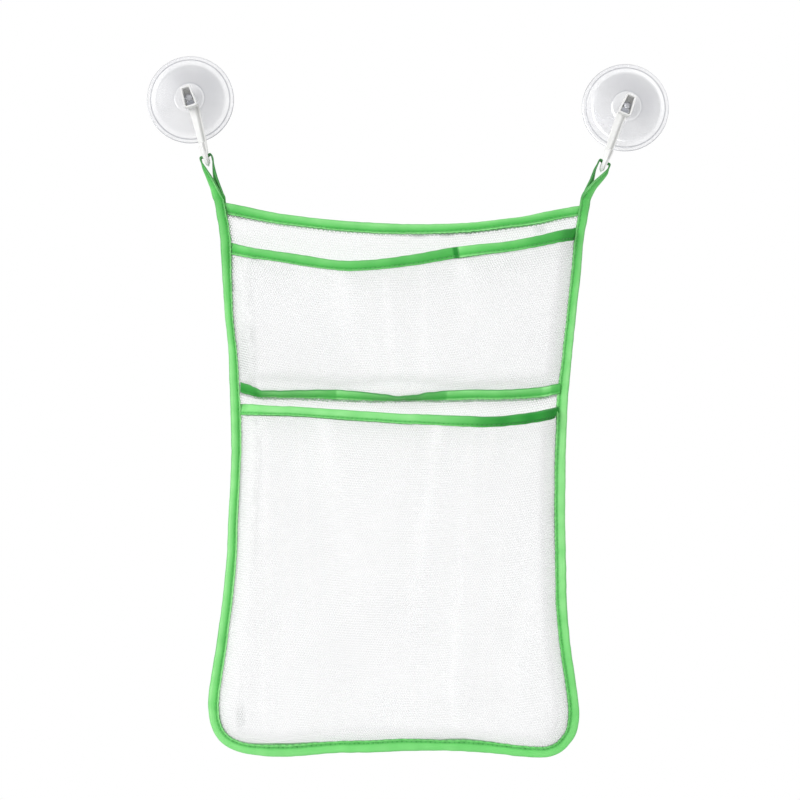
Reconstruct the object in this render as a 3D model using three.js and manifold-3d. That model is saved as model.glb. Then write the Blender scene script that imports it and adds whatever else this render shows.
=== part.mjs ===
// Hanging bath toy organizer: a net bag with two pockets, bound in folded tape,
// hung by two tape loops from two swivelling plastic hooks on suction cups.
// Millimetres, +Z up, the wall is the plane Y = 0 and the bag hangs on its -Y side.
// Origin: midway between the two cup axes, on the wall.

import * as THREE from 'three';
import { mergeVertices } from 'three/addons/utils/BufferGeometryUtils.js';
import Module from 'manifold-3d';

const wasm = await Module();
wasm.setup();

// ---------------------------------------------------------------- driving dimensions

// suction cups
const CUP_LEFT = [-147.8, 2.7]; // cup axis, x and z
const CUP_RIGHT = [147.9, -2.7];
const CUP_RADIUS = 29.5;
const CUP_FLAT = 27.0; // inner radius of the flat ring that meets the wall
const CUP_HOLLOW = 3.0; // depth of the hollow with the cup pressed on
const BOSS_RADIUS = 10.0;
const BOSS_TOP = 7.5; // height of the boss above the wall
const NECK_RADIUS = 1.75;
const HEAD_RADIUS = 2.35;
const HEAD_BASE = 9.9;
const HEAD_TOP = 12.2;
const CUP_SIDES = 40;

// hooks
const HOOK_LEAN_LEFT = 16.6; // degrees from plumb, foot inwards
const HOOK_LEAN_RIGHT = 22.0;
const BOX_TOP_WIDTH = 6.8; // open box around the neck
const BOX_FOOT_WIDTH = 9.2;
const BOX_UP = 6.9; // above and below the neck axis
const BOX_DOWN = 7.3;
const BOX_WALL = 1.3;
const BOX_BACK = 7.8; // heights above the wall
const BOX_PLATE = 9.4;
const BOX_FRONT = 16.5;
const KEYHOLE_RADIUS = 2.05; // round the neck
const KEYHOLE_SLOT = 1.6; // half width
const KEYHOLE_ENTRY = 2.6; // where the head goes in
const KEYHOLE_DROP = 3.3;
const ARM_BACK = 7.8;
const ARM_FRONT = 10.6;
const ARM_HALF_TOP = 3.6; // half widths down the arm
const ARM_HALF_MID = 2.5;
const ARM_HALF_FOOT = 1.5;
const J_GAP = 8.0; // between arm and prong
const J_SEAT = 44.3; // neck axis to the seat of the J
const J_FOOT = 49.3; // neck axis to the lowest point
const J_SHOULDER = 40.3; // where the arm starts to bend
const PRONG = 2.6;
const PRONG_TOP = 33.4;

// tape loops
const STRAP_WIDTH = 7.0;
const STRAP_SEAT_WIDTH = 5.6; // gathered where it lies in the J
const STRAP_THICK = 1.3;
const STRAP_SEAT = 43.05; // neck axis to the middle of the strap in the J
const STRAP_HALF_SPAN = 3.9; // strands beside the J

// bag
const BAG_Y = -11.0; // plane of the bound edges
const NET = 0.6; // thickness of one net layer
const LAYER = 0.45; // a layer's middle from the bag plane, inside the binding
const TAPE_WIDTH = 7.0; // folded width of every binding
const UPPER_DEPTH = 10.0; // how far each pocket stands off the back panel
const LOWER_DEPTH = 11.0;
const FRINGE = 5.0; // upper pocket's foot below the middle of the divider tape

// outline: middle of the side and bottom binding, x and z
const SIDE_LEFT = [[-126.3, -68.3], [-124.1, -80.4], [-122.8, -90.5], [-122.2, -104], [-121.4, -120.2], [-119.9, -141.1], [-118.3, -157.9], [-116.8, -174.7], [-115.9, -195], [-115.4, -215.2], [-115.1, -235.4], [-115.8, -252.2], [-116.9, -269.8], [-117.9, -289.3], [-118.8, -308.8], [-120.4, -326.3], [-122.3, -343.2], [-124.6, -361.4], [-127, -376.9], [-128.8, -390.4], [-130.3, -401.1], [-130.7, -409.9]];
const BOTTOM = [[-129.5, -418.7], [-126.6, -425.4], [-121.8, -430.6], [-112.5, -435.2], [-97.3, -437.4], [-81.1, -437.6], [-67.7, -436.8], [-45.4, -435.5], [-23.9, -434.7], [-2.3, -433.9], [15.2, -433.6], [35.4, -434.1], [48.9, -435.2], [62.4, -436.7], [74.5, -438.1], [86.6, -438.7], [94.7, -438.1], [101.1, -435.2], [106.2, -430.1], [110.2, -423]];
const SIDE_RIGHT = [[112, -414.6], [112, -407.2], [110.4, -394.4], [107.9, -376.9], [105.8, -361.4], [104, -343.2], [103.1, -326.3], [102.6, -308.8], [102.3, -289.3], [102.2, -272.4], [102.5, -254.3], [103.2, -235.4], [104.2, -215.2], [105.5, -195], [107.2, -174.7], [109.1, -154.5], [111, -137.7], [113.2, -120.2], [115.3, -98.6], [116.7, -86.5], [118, -78.4], [119.5, -69]];
// cross tapes: middle line, x and z
const TOP_LINE = [[-122.2, -72.7], [-107.4, -75.8], [-91.9, -78.6], [-75.1, -81.3], [-57.6, -83.6], [-40, -85.2], [-23.2, -86.1], [-5, -86.5], [8.5, -86.4], [29.4, -85.6], [46.2, -84.2], [63.7, -82.1], [81.2, -79.8], [98.1, -77.1], [114.9, -74.2]];
const UPPER_LINE = [[-118.6, -99.5], [-106.6, -102.5], [-91.2, -105.5], [-74.5, -108.4], [-57.1, -111], [-39.7, -112.2], [-27.7, -111.8], [-14.4, -110.5], [-3, -109.1], [8.4, -107.5], [20.4, -105.3], [33.1, -103], [48.4, -101], [63.1, -99.2], [80.5, -96.5], [97.2, -93.1], [111.9, -89.9]];
const DIVIDER_LINE = [[-113.3, -192.9], [-100.5, -196.4], [-87.7, -197.7], [-72.3, -198], [-50.7, -198.3], [-37.3, -199], [-23.2, -199.8], [-5.7, -200.2], [11.8, -199.5], [29.3, -198.8], [46.1, -198.4], [63.6, -198.1], [77.1, -197.4], [89.2, -196], [101.3, -193.2]];
const LOWER_LINE = [[-111.1, -208.2], [-91.8, -208.9], [-74.4, -209.8], [-57.1, -210.8], [-39.7, -211.9], [-22.4, -212.9], [-6.3, -213.8], [8.4, -214.5], [29, -215.5], [45.7, -216], [63.1, -215.7], [76.4, -214.4], [88.5, -212.5], [99.1, -210.6]];

// sewing thread
const THREAD = 0.6;
const THREAD_LIFT = 0.1; // above the tape it lies on

// ---------------------------------------------------------------- finishes

const finish = {
  clear: { color: 0xe6e6ee, roughness: 0.12, metalness: 0 },
  white: { color: 0xf2f2f0, roughness: 0.35, metalness: 0 },
  net: { color: 0xf4f5f5, roughness: 0.85, metalness: 0 },
  tape: { color: 0x58cd62, roughness: 0.55, metalness: 0 },
  thread: { color: 0x2f9a42, roughness: 0.6, metalness: 0 },
};

const organizer = new THREE.Group();

function add(name, geometry, slot, parent = organizer) {
  const mesh = new THREE.Mesh(geometry, new THREE.MeshStandardMaterial(finish[slot]));
  mesh.name = name;
  parent.add(mesh);
  return mesh;
}

// ---------------------------------------------------------------- geometry helpers

const V = (x, y, z) => new THREE.Vector3(x, y, z);
const rad = THREE.MathUtils.degToRad;
const lerp = THREE.MathUtils.lerp;

// a closed surface from vertices and triangles, faces turned outwards
function closed(vertices, triangles) {
  let volume = 0;
  for (const [a, b, c] of triangles) volume += vertices[a].dot(V(0, 0, 0).crossVectors(vertices[b], vertices[c]));
  const index = [];
  for (const [a, b, c] of triangles) index.push(...(volume > 0 ? [a, b, c] : [a, c, b]));
  const geometry = new THREE.BufferGeometry();
  geometry.setAttribute('position', new THREE.Float32BufferAttribute(vertices.flatMap((p) => p.toArray()), 3));
  geometry.setIndex(index);
  geometry.computeVertexNormals();
  return geometry;
}

// a solid swept through frames {p, a, b}; section gives (a, b) pairs, or a function of the frame's number
function sweep(frames, section) {
  const outline = typeof section === 'function' ? section : () => section;
  const n = outline(0).length;
  const vertices = [];
  const triangles = [];
  frames.forEach((f, i) => {
    for (const [a, b] of outline(i)) vertices.push(f.p.clone().addScaledVector(f.a, a).addScaledVector(f.b, b));
  });
  for (let i = 0; i + 1 < frames.length; i++) {
    for (let k = 0; k < n; k++) {
      const l = (k + 1) % n;
      const [p, q, r, s] = [i * n + k, i * n + l, (i + 1) * n + l, (i + 1) * n + k];
      triangles.push([p, q, r], [p, r, s]);
    }
  }
  const cap = THREE.ShapeUtils.triangulateShape(outline(0).map(([a, b]) => new THREE.Vector2(a, b)), []);
  const flip = THREE.ShapeUtils.isClockWise(outline(0).map(([a, b]) => new THREE.Vector2(a, b)));
  const last = (frames.length - 1) * n;
  for (const [a, b, c] of cap) {
    const t = flip ? [a, b, c] : [a, c, b];
    triangles.push(t, [last + t[0], last + t[2], last + t[1]]);
  }
  return closed(vertices, triangles);
}

// a thin sheet of even thickness along Y, from its middle surface
function sheet(vertices, triangles, thick) {
  const n = vertices.length;
  const both = [...vertices.map((p) => V(p.x, p.y - thick / 2, p.z)), ...vertices.map((p) => V(p.x, p.y + thick / 2, p.z))];
  const out = [];
  const edges = new Map();
  for (const [a, b, c] of triangles) {
    out.push([a, b, c], [a + n, c + n, b + n]);
    for (const [i, j] of [[a, b], [b, c], [c, a]]) {
      const key = i < j ? `${i},${j}` : `${j},${i}`;
      if (edges.has(key)) edges.delete(key);
      else edges.set(key, [i, j]);
    }
  }
  for (const [i, j] of edges.values()) out.push([j, i, i + n], [j, i + n, j + n]);
  return closed(both, out);
}

// all triangles wound the same way, seen along Y
function facing(vertices, triangles) {
  return triangles.map(([a, b, c]) => {
    const s = (vertices[b].x - vertices[a].x) * (vertices[c].z - vertices[a].z) - (vertices[c].x - vertices[a].x) * (vertices[b].z - vertices[a].z);
    return s > 0 ? [a, b, c] : [a, c, b];
  });
}

// smooth line through (x, z) points, sampled evenly
function smooth(points, count) {
  const curve = new THREE.CatmullRomCurve3(points.map(([x, z]) => V(x, 0, z)), false, 'centripetal');
  return curve.getSpacedPoints(count).map((p) => [p.x, p.z]);
}

// value at u along points sorted by their first entry
function along(points, u) {
  const list = points[0][0] < points[points.length - 1][0] ? points : [...points].reverse();
  if (u <= list[0][0]) {
    const [[a, b], [c, d]] = list;
    return b + ((d - b) * (u - a)) / (c - a);
  }
  for (let i = 0; i + 1 < list.length; i++) {
    const [[a, b], [c, d]] = [list[i], list[i + 1]];
    if (u <= c || i + 2 === list.length) return b + ((d - b) * (u - a)) / (c - a);
  }
  return 0;
}
const swapped = (points) => points.map(([x, z]) => [z, x]);
const leftX = (z) => along(swapped(SIDE_LEFT), z);
const rightX = (z) => along(swapped(SIDE_RIGHT), z);

// frames on a flat path in the bag plane: a points into the bag, b to the wall
function planeFrames(points, y) {
  return points.map(([x, z], i) => {
    const [x0, z0] = points[Math.max(i - 1, 0)];
    const [x1, z1] = points[Math.min(i + 1, points.length - 1)];
    const t = new THREE.Vector2(x1 - x0, z1 - z0).normalize();
    return { p: V(x, y, z), a: V(-t.y, 0, t.x), b: V(0, 1, 0) };
  });
}

// frames along a cross tape: a points down the net, b to the wall side
function crossFrames(path) {
  return path.map((p, i) => {
    const t = path[Math.min(i + 1, path.length - 1)].clone().sub(path[Math.max(i - 1, 0)]).normalize();
    const a = V(0, 0, -1).addScaledVector(t, t.z).normalize();
    const b = V(0, 0, 0).crossVectors(a, t).normalize();
    if (b.y < 0) b.negate();
    return { p, a, b };
  });
}

function folded(width, half, leg) {
  const w = width / 2;
  const s = half - leg;
  return [[-w, -half], [w, -half], [w, -s], [-w + leg, -s], [-w + leg, s], [w, s], [w, half], [-w, half]];
}

function strip(a, b, width, thick) {
  return [[a - width / 2, b - thick], [a + width / 2, b - thick], [a + width / 2, b], [a - width / 2, b]];
}

// ---------------------------------------------------------------- joining and cutting

function solid(geometry) {
  const g = geometry.clone();
  g.deleteAttribute('normal');
  g.deleteAttribute('uv');
  const m = mergeVertices(g, 1e-4);
  return new wasm.Manifold(new wasm.Mesh({ numProp: 3, vertProperties: new Float32Array(m.attributes.position.array), triVerts: new Uint32Array(m.index.array) }));
}

function geometryOf(manifold) {
  const mesh = manifold.getMesh();
  const geometry = new THREE.BufferGeometry();
  geometry.setAttribute('position', new THREE.BufferAttribute(new Float32Array(mesh.vertProperties), 3));
  geometry.setIndex(Array.from(mesh.triVerts));
  geometry.computeVertexNormals();
  return geometry;
}

// an outline in (x, z) pushed out from height h0 to h1 above the wall
function slab(outline, h0, h1, holes = []) {
  const shape = new THREE.Shape(outline.map(([x, z]) => new THREE.Vector2(x, z)));
  for (const hole of holes) shape.holes.push(new THREE.Path(hole.map(([x, z]) => new THREE.Vector2(x, z))));
  const geometry = new THREE.ExtrudeGeometry(shape, { depth: h1 - h0, bevelEnabled: false });
  geometry.rotateX(Math.PI / 2);
  geometry.translate(0, -h0, 0);
  return geometry;
}

// ---------------------------------------------------------------- suction cups

// half section of the cup: radius and height above the wall, axis to axis
const CUP_PROFILE = [
  [0, CUP_HOLLOW], [12, 2.6], [22, 1.5], [CUP_FLAT, 0], [CUP_RADIUS, 0], [CUP_RADIUS, 0.8], [CUP_RADIUS - 0.5, 1.2],
  [CUP_RADIUS - 2.2, 1.3], [CUP_RADIUS - 2.8, 1.7], [23.4, 2.3], [22.6, 3.1], [18, 4.7], [13.5, 5.9], [BOSS_RADIUS, 6.5],
  [BOSS_RADIUS, BOSS_TOP - 0.4], [BOSS_RADIUS - 0.4, BOSS_TOP], [NECK_RADIUS + 0.3, BOSS_TOP], [NECK_RADIUS, BOSS_TOP + 0.2],
  [NECK_RADIUS, HEAD_BASE], [HEAD_RADIUS, HEAD_BASE + 0.3], [HEAD_RADIUS, HEAD_TOP - 0.6], [HEAD_RADIUS - 0.8, HEAD_TOP], [0, HEAD_TOP],
];

function cup(name, [x, z]) {
  // the lathe turns about its own Y axis, which points away from the wall
  const geometry = new THREE.LatheGeometry(CUP_PROFILE.map(([r, h]) => new THREE.Vector2(r, h)), CUP_SIDES);
  geometry.rotateZ(Math.PI);
  add(name, geometry, 'clear').position.set(x, 0, z);
}

// ---------------------------------------------------------------- hooks

function circle(x, z, r, n) {
  return Array.from({ length: n }, (_, i) => [x + r * Math.cos((2 * Math.PI * i) / n), z + r * Math.sin((2 * Math.PI * i) / n)]);
}

function hookGeometry() {
  const w0 = BOX_TOP_WIDTH / 2;
  const w1 = BOX_FOOT_WIDTH / 2;
  const outer = [[-w1, -BOX_DOWN], [w1, -BOX_DOWN], [w0, BOX_UP], [-w0, BOX_UP]];
  const inner = [[-w1 + BOX_WALL, -BOX_DOWN + BOX_WALL], [w1 - BOX_WALL, -BOX_DOWN + BOX_WALL], [w0 - BOX_WALL, BOX_UP - BOX_WALL], [-w0 + BOX_WALL, BOX_UP - BOX_WALL]];
  const plate = solid(slab(outer, BOX_BACK, BOX_PLATE));
  const walls = solid(slab(outer, BOX_BACK + 0.5, BOX_FRONT, [inner]));
  const hole = solid(slab(circle(0, 0, KEYHOLE_RADIUS, 20), BOX_BACK - 1, BOX_PLATE + 0.2));
  const slot = solid(slab([[-KEYHOLE_SLOT, -KEYHOLE_DROP], [KEYHOLE_SLOT, -KEYHOLE_DROP], [KEYHOLE_SLOT, 0], [-KEYHOLE_SLOT, 0]], BOX_BACK - 1, BOX_PLATE + 0.2));
  const entry = solid(slab(circle(0, -KEYHOLE_DROP, KEYHOLE_ENTRY, 20), BOX_BACK - 1, BOX_PLATE + 0.2));

  // side view of arm and J: height above the wall, distance below the neck
  const mid = ARM_FRONT + J_GAP / 2;
  const front = ARM_FRONT + J_GAP + PRONG;
  const half = (front - ARM_BACK) / 2;
  const side = [[ARM_BACK, BOX_DOWN - 1.2]];
  for (let i = 0; i <= 12; i++) {
    const t = (Math.PI * i) / 12;
    side.push([ARM_BACK + half - half * Math.cos(t), J_SHOULDER + (J_FOOT - J_SHOULDER) * Math.sin(t)]);
  }
  side.push([front - 0.3, PRONG_TOP + 1.2], [front - 1.2, PRONG_TOP], [front - 2.2, PRONG_TOP + 0.2], [front - PRONG, PRONG_TOP + 1.6]);
  const r = 1.2;
  side.push([front - PRONG, J_SEAT - r], [front - PRONG - r * 0.3, J_SEAT - r * 0.3], [front - PRONG - r, J_SEAT], [mid, J_SEAT], [ARM_FRONT + r, J_SEAT], [ARM_FRONT + r * 0.3, J_SEAT - r * 0.3], [ARM_FRONT, J_SEAT - r], [ARM_FRONT, BOX_DOWN - 1.2]);
  // drawn in the side plane, pushed out along X, then narrowed towards the foot
  const shape = new THREE.Shape(side.map(([h, w]) => new THREE.Vector2(h, w)));
  const arm = new THREE.ExtrudeGeometry(shape, { depth: 2, bevelEnabled: false });
  const p = arm.attributes.position;
  for (let i = 0; i < p.count; i++) {
    const [h, w, s] = [p.getX(i), p.getY(i), p.getZ(i) - 1];
    const wide = w < J_SHOULDER ? lerp(ARM_HALF_TOP, ARM_HALF_MID, (w - BOX_DOWN) / (J_SHOULDER - BOX_DOWN)) : lerp(ARM_HALF_MID, ARM_HALF_FOOT, (w - J_SHOULDER) / (J_FOOT - J_SHOULDER));
    p.setXYZ(i, s * wide, -h, -w);
  }
  return geometryOf(plate.subtract(hole).subtract(slot).subtract(entry).add(walls).add(solid(arm)));
}

function hook(name, [x, z], lean) {
  const turned = new THREE.Group();
  turned.position.set(x, 0, z);
  turned.rotation.y = rad(lean);
  organizer.add(turned);
  add(name, hookGeometry(), 'white', turned);
}

// ---------------------------------------------------------------- tape loops

// A loop lies across the J with its width to the wall, and its two strands turn to face
// front and back on their way down to the bag's corner.
function loopFrames(axis, lean, side, front, back) {
  const down = V(-Math.sin(rad(lean)), 0, -Math.cos(rad(lean)));
  const out = V(Math.cos(rad(lean)), 0, -Math.sin(rad(lean))).multiplyScalar(side); // away from the bag's middle
  const seatY = -(ARM_FRONT + J_GAP / 2);
  const seat = V(axis[0], seatY, axis[1]).addScaledVector(down, STRAP_SEAT);
  const at = (o, d) => seat.clone().addScaledVector(out, o).addScaledVector(down, d);
  const s = STRAP_HALF_SPAN;
  const keys = [];
  front.forEach(([x, z, y, turn]) => keys.push({ p: V(x, y, z), n: out.clone().lerp(V(0, -1, 0), turn).normalize(), w: lerp(STRAP_SEAT_WIDTH, STRAP_WIDTH, turn) }));
  const slant = (a, b, k) => a.clone().lerp(b, k).normalize();
  const up = down.clone().negate();
  const inn = out.clone().negate();
  const over = [[at(s, 1.8), out], [at(s - 0.25, 0.55), slant(out, up, 0.35)], [at(s - 1.1, 0.02), slant(out, up, 0.85)], [at(0, 0), up], [at(-s + 1.1, 0.02), slant(inn, up, 0.85)], [at(-s + 0.25, 0.55), slant(inn, up, 0.35)], [at(-s, 1.8), inn]];
  for (const [p, n] of over) keys.push({ p, n: n.clone(), w: STRAP_SEAT_WIDTH });
  [...back].reverse().forEach(([x, z, y, turn]) => keys.push({ p: V(x, y, z), n: inn.clone().lerp(V(0, 1, 0), turn).normalize(), w: lerp(STRAP_SEAT_WIDTH, STRAP_WIDTH, turn) }));
  // finer steps where the strands turn
  const curve = new THREE.CatmullRomCurve3(keys.map((k) => k.p), false, 'centripetal');
  const fine = [];
  for (let i = 0; i + 1 < keys.length; i++) {
    const steps = keys[i].n.angleTo(keys[i + 1].n) > 0.3 && keys[i].p.distanceTo(keys[i + 1].p) > 2 ? 4 : 1;
    for (let j = 0; j < steps; j++) {
      const u = j / steps;
      fine.push({ p: curve.getPoint((i + u) / (keys.length - 1)), n: keys[i].n.clone().lerp(keys[i + 1].n, u).normalize(), w: lerp(keys[i].w, keys[i + 1].w, u) });
    }
  }
  fine.push(keys[keys.length - 1]);
  return fine.map((k, i) => {
    const t = fine[Math.min(i + 1, fine.length - 1)].p.clone().sub(fine[Math.max(i - 1, 0)].p).normalize();
    const n = k.n.clone().addScaledVector(t, -k.n.dot(t)).normalize();
    const a = V(0, 0, 0).crossVectors(t, n).normalize();
    return { p: k.p, a, b: n, w: k.w };
  });
}

// strands from the corner up: x, z, y and how far they have turned to face front or back
const LOOP_LEFT_FRONT = [[-127.9, -65.4, -12.7, 1], [-128.9, -63.0, -12.9, 1], [-131.3, -57.4, -13.4, 0.9], [-134.5, -51.6, -13.9, 0.6], [-137.6, -45.6, -14.4, 0.1]];
const LOOP_LEFT_BACK = [[-125.5, -65.4, -10.5, 1], [-126, -63.0, -10.6, 1], [-127.2, -57.6, -11.3, 0.9], [-128.6, -51.8, -12.6, 0.55], [-129.7, -45.0, -14.1, 0.1]];
const LOOP_RIGHT_FRONT = [[120.9, -66.2, -12.7, 1], [122.3, -63.8, -12.9, 1], [126.3, -57.8, -13.4, 0.9], [129.9, -54.2, -13.9, 0.6], [133.6, -48.8, -14.4, 0.08]];
const LOOP_RIGHT_BACK = [[118.4, -66.2, -10.5, 1], [119.2, -63.8, -10.6, 1], [121.1, -58.4, -11.3, 0.9], [123.2, -53.4, -12.6, 0.55], [125.2, -46.6, -14.1, 0.1]];

function loop(side, axis, lean, front, back) {
  const name = side < 0 ? 'left' : 'right';
  const frames = loopFrames(axis, lean, side, front, back);
  const t = STRAP_THICK / 2;
  add(`loop_${name}`, sweep(frames, (i) => {
    const w = frames[i].w / 2;
    return [[-w, -t], [w, -t], [w, t], [-w, t]];
  }), 'tape');
  // seam that joins the two strands at the corner, on the front strand's inner edge
  const seam = frames.slice(0, 3).map((f) => ({ p: f.p.clone(), a: f.a, b: f.b }));
  const inward = seam[0].a.x * side < 0 ? 2 : -2;
  add(`loop_stitching_${name}`, sweep(seam, strip(inward, t + THREAD_LIFT + 0.4, THREAD, 0.3)), 'thread');
}

// ---------------------------------------------------------------- net panels

function upperPocket() {
  const dSide = [0, 5, 10, 16];
  const dFoot = [0, 9.5, 14, 20];
  const yOf = [0, 0, 0.55, 1].map((k) => BAG_Y - LAYER - k * UPPER_DEPTH);
  const foot = (x) => along(DIVIDER_LINE, x) - FRINGE;
  const mouth = (x) => along(UPPER_LINE, x);
  const rings = dSide.map((d, k) => {
    const ring = [];
    const sideLine = (sign) => {
      const xAt = sign < 0 ? leftX : rightX;
      let zm = -96;
      for (let i = 0; i < 4; i++) zm = mouth(xAt(zm) - sign * d);
      let zf = -197;
      for (let i = 0; i < 4; i++) zf = foot(xAt(zf) - sign * d) + dFoot[k];
      const line = [[xAt(zm) - sign * d, zm], [xAt(zm) - sign * d, zm - 4.5]];
      for (let i = 1; i <= 6; i++) {
        const z = lerp(zm, zf, i / 6);
        line.push([xAt(z) - sign * d, z]);
      }
      return line;
    };
    const left = sideLine(-1);
    const right = sideLine(1).reverse();
    ring.push(...left);
    const x0 = left[left.length - 1][0];
    const x1 = right[0][0];
    for (let i = 1; i < 14; i++) {
      const x = lerp(x0, x1, i / 14);
      ring.push([x, foot(x) + dFoot[k]]);
    }
    ring.push(...right);
    return ring.map(([x, z]) => V(x, yOf[k], z));
  });
  return pocket(rings, UPPER_LINE);
}

function lowerPocket() {
  const dSide = [0, 5, 10.5, 16.5];
  const yOf = [0, 0, 0.55, 1].map((k) => BAG_Y - LAYER - k * LOWER_DEPTH);
  const mouth = (x) => along(LOWER_LINE, x);
  const zl = mouth(leftX(-208));
  const zr = mouth(rightX(-210));
  const outline = [...smooth([[leftX(zl), zl], ...SIDE_LEFT.filter(([, z]) => z < zl - 5), ...BOTTOM, ...SIDE_RIGHT.filter(([, z]) => z < zr - 5), [rightX(zr), zr]], 56)];
  const rings = dSide.map((d, k) =>
    planeFrames(outline, yOf[k]).map((f, i) => {
      const p = f.p.clone().addScaledVector(f.a, d);
      if (i === 0) p.set(leftX(zl) + d, yOf[k], mouth(leftX(zl) + d));
      if (i === outline.length - 1) p.set(rightX(zr) - d, yOf[k], mouth(rightX(zr) - d));
      return p;
    }),
  );
  return pocket(rings, LOWER_LINE);
}

// flat edge, rising flank and flat face of a pocket; the mouth is the open top
function pocket(rings, line) {
  const n = rings[0].length;
  const vertices = rings.flat();
  let triangles = [];
  for (let k = 0; k + 1 < rings.length; k++) {
    for (let i = 0; i + 1 < n; i++) {
      const [p, q, r, s] = [k * n + i, k * n + i + 1, (k + 1) * n + i + 1, (k + 1) * n + i];
      triangles.push([p, q, r], [p, r, s]);
    }
  }
  const inner = rings[rings.length - 1];
  const first = (rings.length - 1) * n;
  const face = inner.map((p, i) => ({ p, id: first + i }));
  const lip = line.filter(([x]) => x > inner[0].x + 3 && x < inner[n - 1].x - 3).map(([x, z]) => V(x, inner[0].y, z));
  for (const p of [...lip].reverse()) {
    face.push({ p, id: vertices.length });
    vertices.push(p);
  }
  const flat = THREE.ShapeUtils.triangulateShape(face.map((f) => new THREE.Vector2(f.p.x, f.p.z)), []);
  triangles.push(...flat.map((t) => t.map((i) => face[i].id)));
  triangles = facing(vertices, triangles);
  const edge = [...rings.map((r) => r[0]), ...lip, ...rings.map((r) => r[n - 1]).reverse()];
  return { geometry: sheet(vertices, triangles, NET), edge };
}

// a cross tape folded over a pocket's mouth starts where the net has come forward
function mouthPath(edge, inset) {
  const path = edge.slice(2, -2);
  const last = edge.length - 1;
  path.unshift(edge[1].clone().lerp(edge[2], (inset - 5) / Math.abs(edge[2].x - edge[1].x)));
  path.push(edge[last - 1].clone().lerp(edge[last - 2], (inset - 5) / Math.abs(edge[last - 2].x - edge[last - 1].x)));
  return path;
}

// ---------------------------------------------------------------- the whole organizer

cup('suction_cup_left', CUP_LEFT);
cup('suction_cup_right', CUP_RIGHT);
hook('hook_left', CUP_LEFT, -HOOK_LEAN_LEFT);
hook('hook_right', CUP_RIGHT, HOOK_LEAN_RIGHT);
loop(-1, CUP_LEFT, -HOOK_LEAN_LEFT, LOOP_LEFT_FRONT, LOOP_LEFT_BACK);
loop(1, CUP_RIGHT, HOOK_LEAN_RIGHT, LOOP_RIGHT_FRONT, LOOP_RIGHT_BACK);

// back panel: flat net, its edges inside the bindings
{
  const top = TOP_LINE.map(([x, z]) => [x, z]);
  const zl = along(TOP_LINE, leftX(-73));
  const zr = along(TOP_LINE, rightX(-74));
  const outline = [[leftX(zl), zl], ...SIDE_LEFT.filter(([, z]) => z < zl - 4), ...BOTTOM, ...SIDE_RIGHT.filter(([, z]) => z < zr - 4), [rightX(zr), zr], ...[...top].reverse()];
  add('back_panel', slab(outline, -BAG_Y - LAYER - NET / 2, -BAG_Y - LAYER + NET / 2), 'net');
}

const upper = upperPocket();
add('upper_pocket_panel', upper.geometry, 'net');
const lower = lowerPocket();
add('lower_pocket_panel', lower.geometry, 'net');

// binding round the sides and the bottom, folded over every layer
{
  const path = smooth([...SIDE_LEFT, ...BOTTOM, ...SIDE_RIGHT], 100);
  const frames = planeFrames(path, BAG_Y);
  add('perimeter_binding', sweep(frames, folded(TAPE_WIDTH, 1.7, 0.65)), 'tape');
  add('perimeter_stitching', sweep(frames, strip(1.2, -1.7 - THREAD_LIFT, THREAD, 0.3)), 'thread');
}

// binding on the back panel's top edge
{
  const x0 = TOP_LINE[0][0] + 2.2;
  const x1 = TOP_LINE[TOP_LINE.length - 1][0] - 1.4;
  const line = [[x0, along(TOP_LINE, x0)], ...TOP_LINE.slice(1, -1), [x1, along(TOP_LINE, x1)]];
  const frames = crossFrames(line.map(([x, z]) => V(x, BAG_Y + LAYER, z)));
  add('top_binding', sweep(frames, folded(TAPE_WIDTH, 1.2, 0.6)), 'tape');
  add('top_stitching', sweep(frames, strip(1.9, -1.2 - THREAD_LIFT, THREAD, 0.3)), 'thread');
}

// bindings on the two pocket mouths
for (const [name, p] of [['upper_pocket', upper], ['lower_pocket', lower]]) {
  const frames = crossFrames(mouthPath(p.edge, 6.2));
  add(`${name}_binding`, sweep(frames, folded(TAPE_WIDTH, 1.4, 0.6)), 'tape');
  add(`${name}_stitching`, sweep(frames, strip(1.9, -1.4 - 2 * THREAD_LIFT, THREAD, 0.3)), 'thread');
}

// tape that closes the foot of the upper pocket against the back panel
{
  const x0 = leftX(-194) + 5.2;
  const x1 = rightX(-194) - 5.2;
  const line = [[x0, along(DIVIDER_LINE, x0)], ...DIVIDER_LINE.filter(([x]) => x > x0 + 4 && x < x1 - 4), [x1, along(DIVIDER_LINE, x1)]];
  const frames = crossFrames(line.map(([x, z]) => V(x, BAG_Y - LAYER - NET / 2 - 0.95, z)));
  add('divider_binding', sweep(frames, strip(0, 0.65, TAPE_WIDTH, 1.3)), 'tape');
  add('divider_stitching', sweep(frames, strip(0.4, -0.65 - THREAD_LIFT, THREAD, 0.3)), 'thread');
}

export default organizer;
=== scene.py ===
import math
import random

import bmesh
import bpy
import numpy as np
from mathutils import Matrix, Vector


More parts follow.
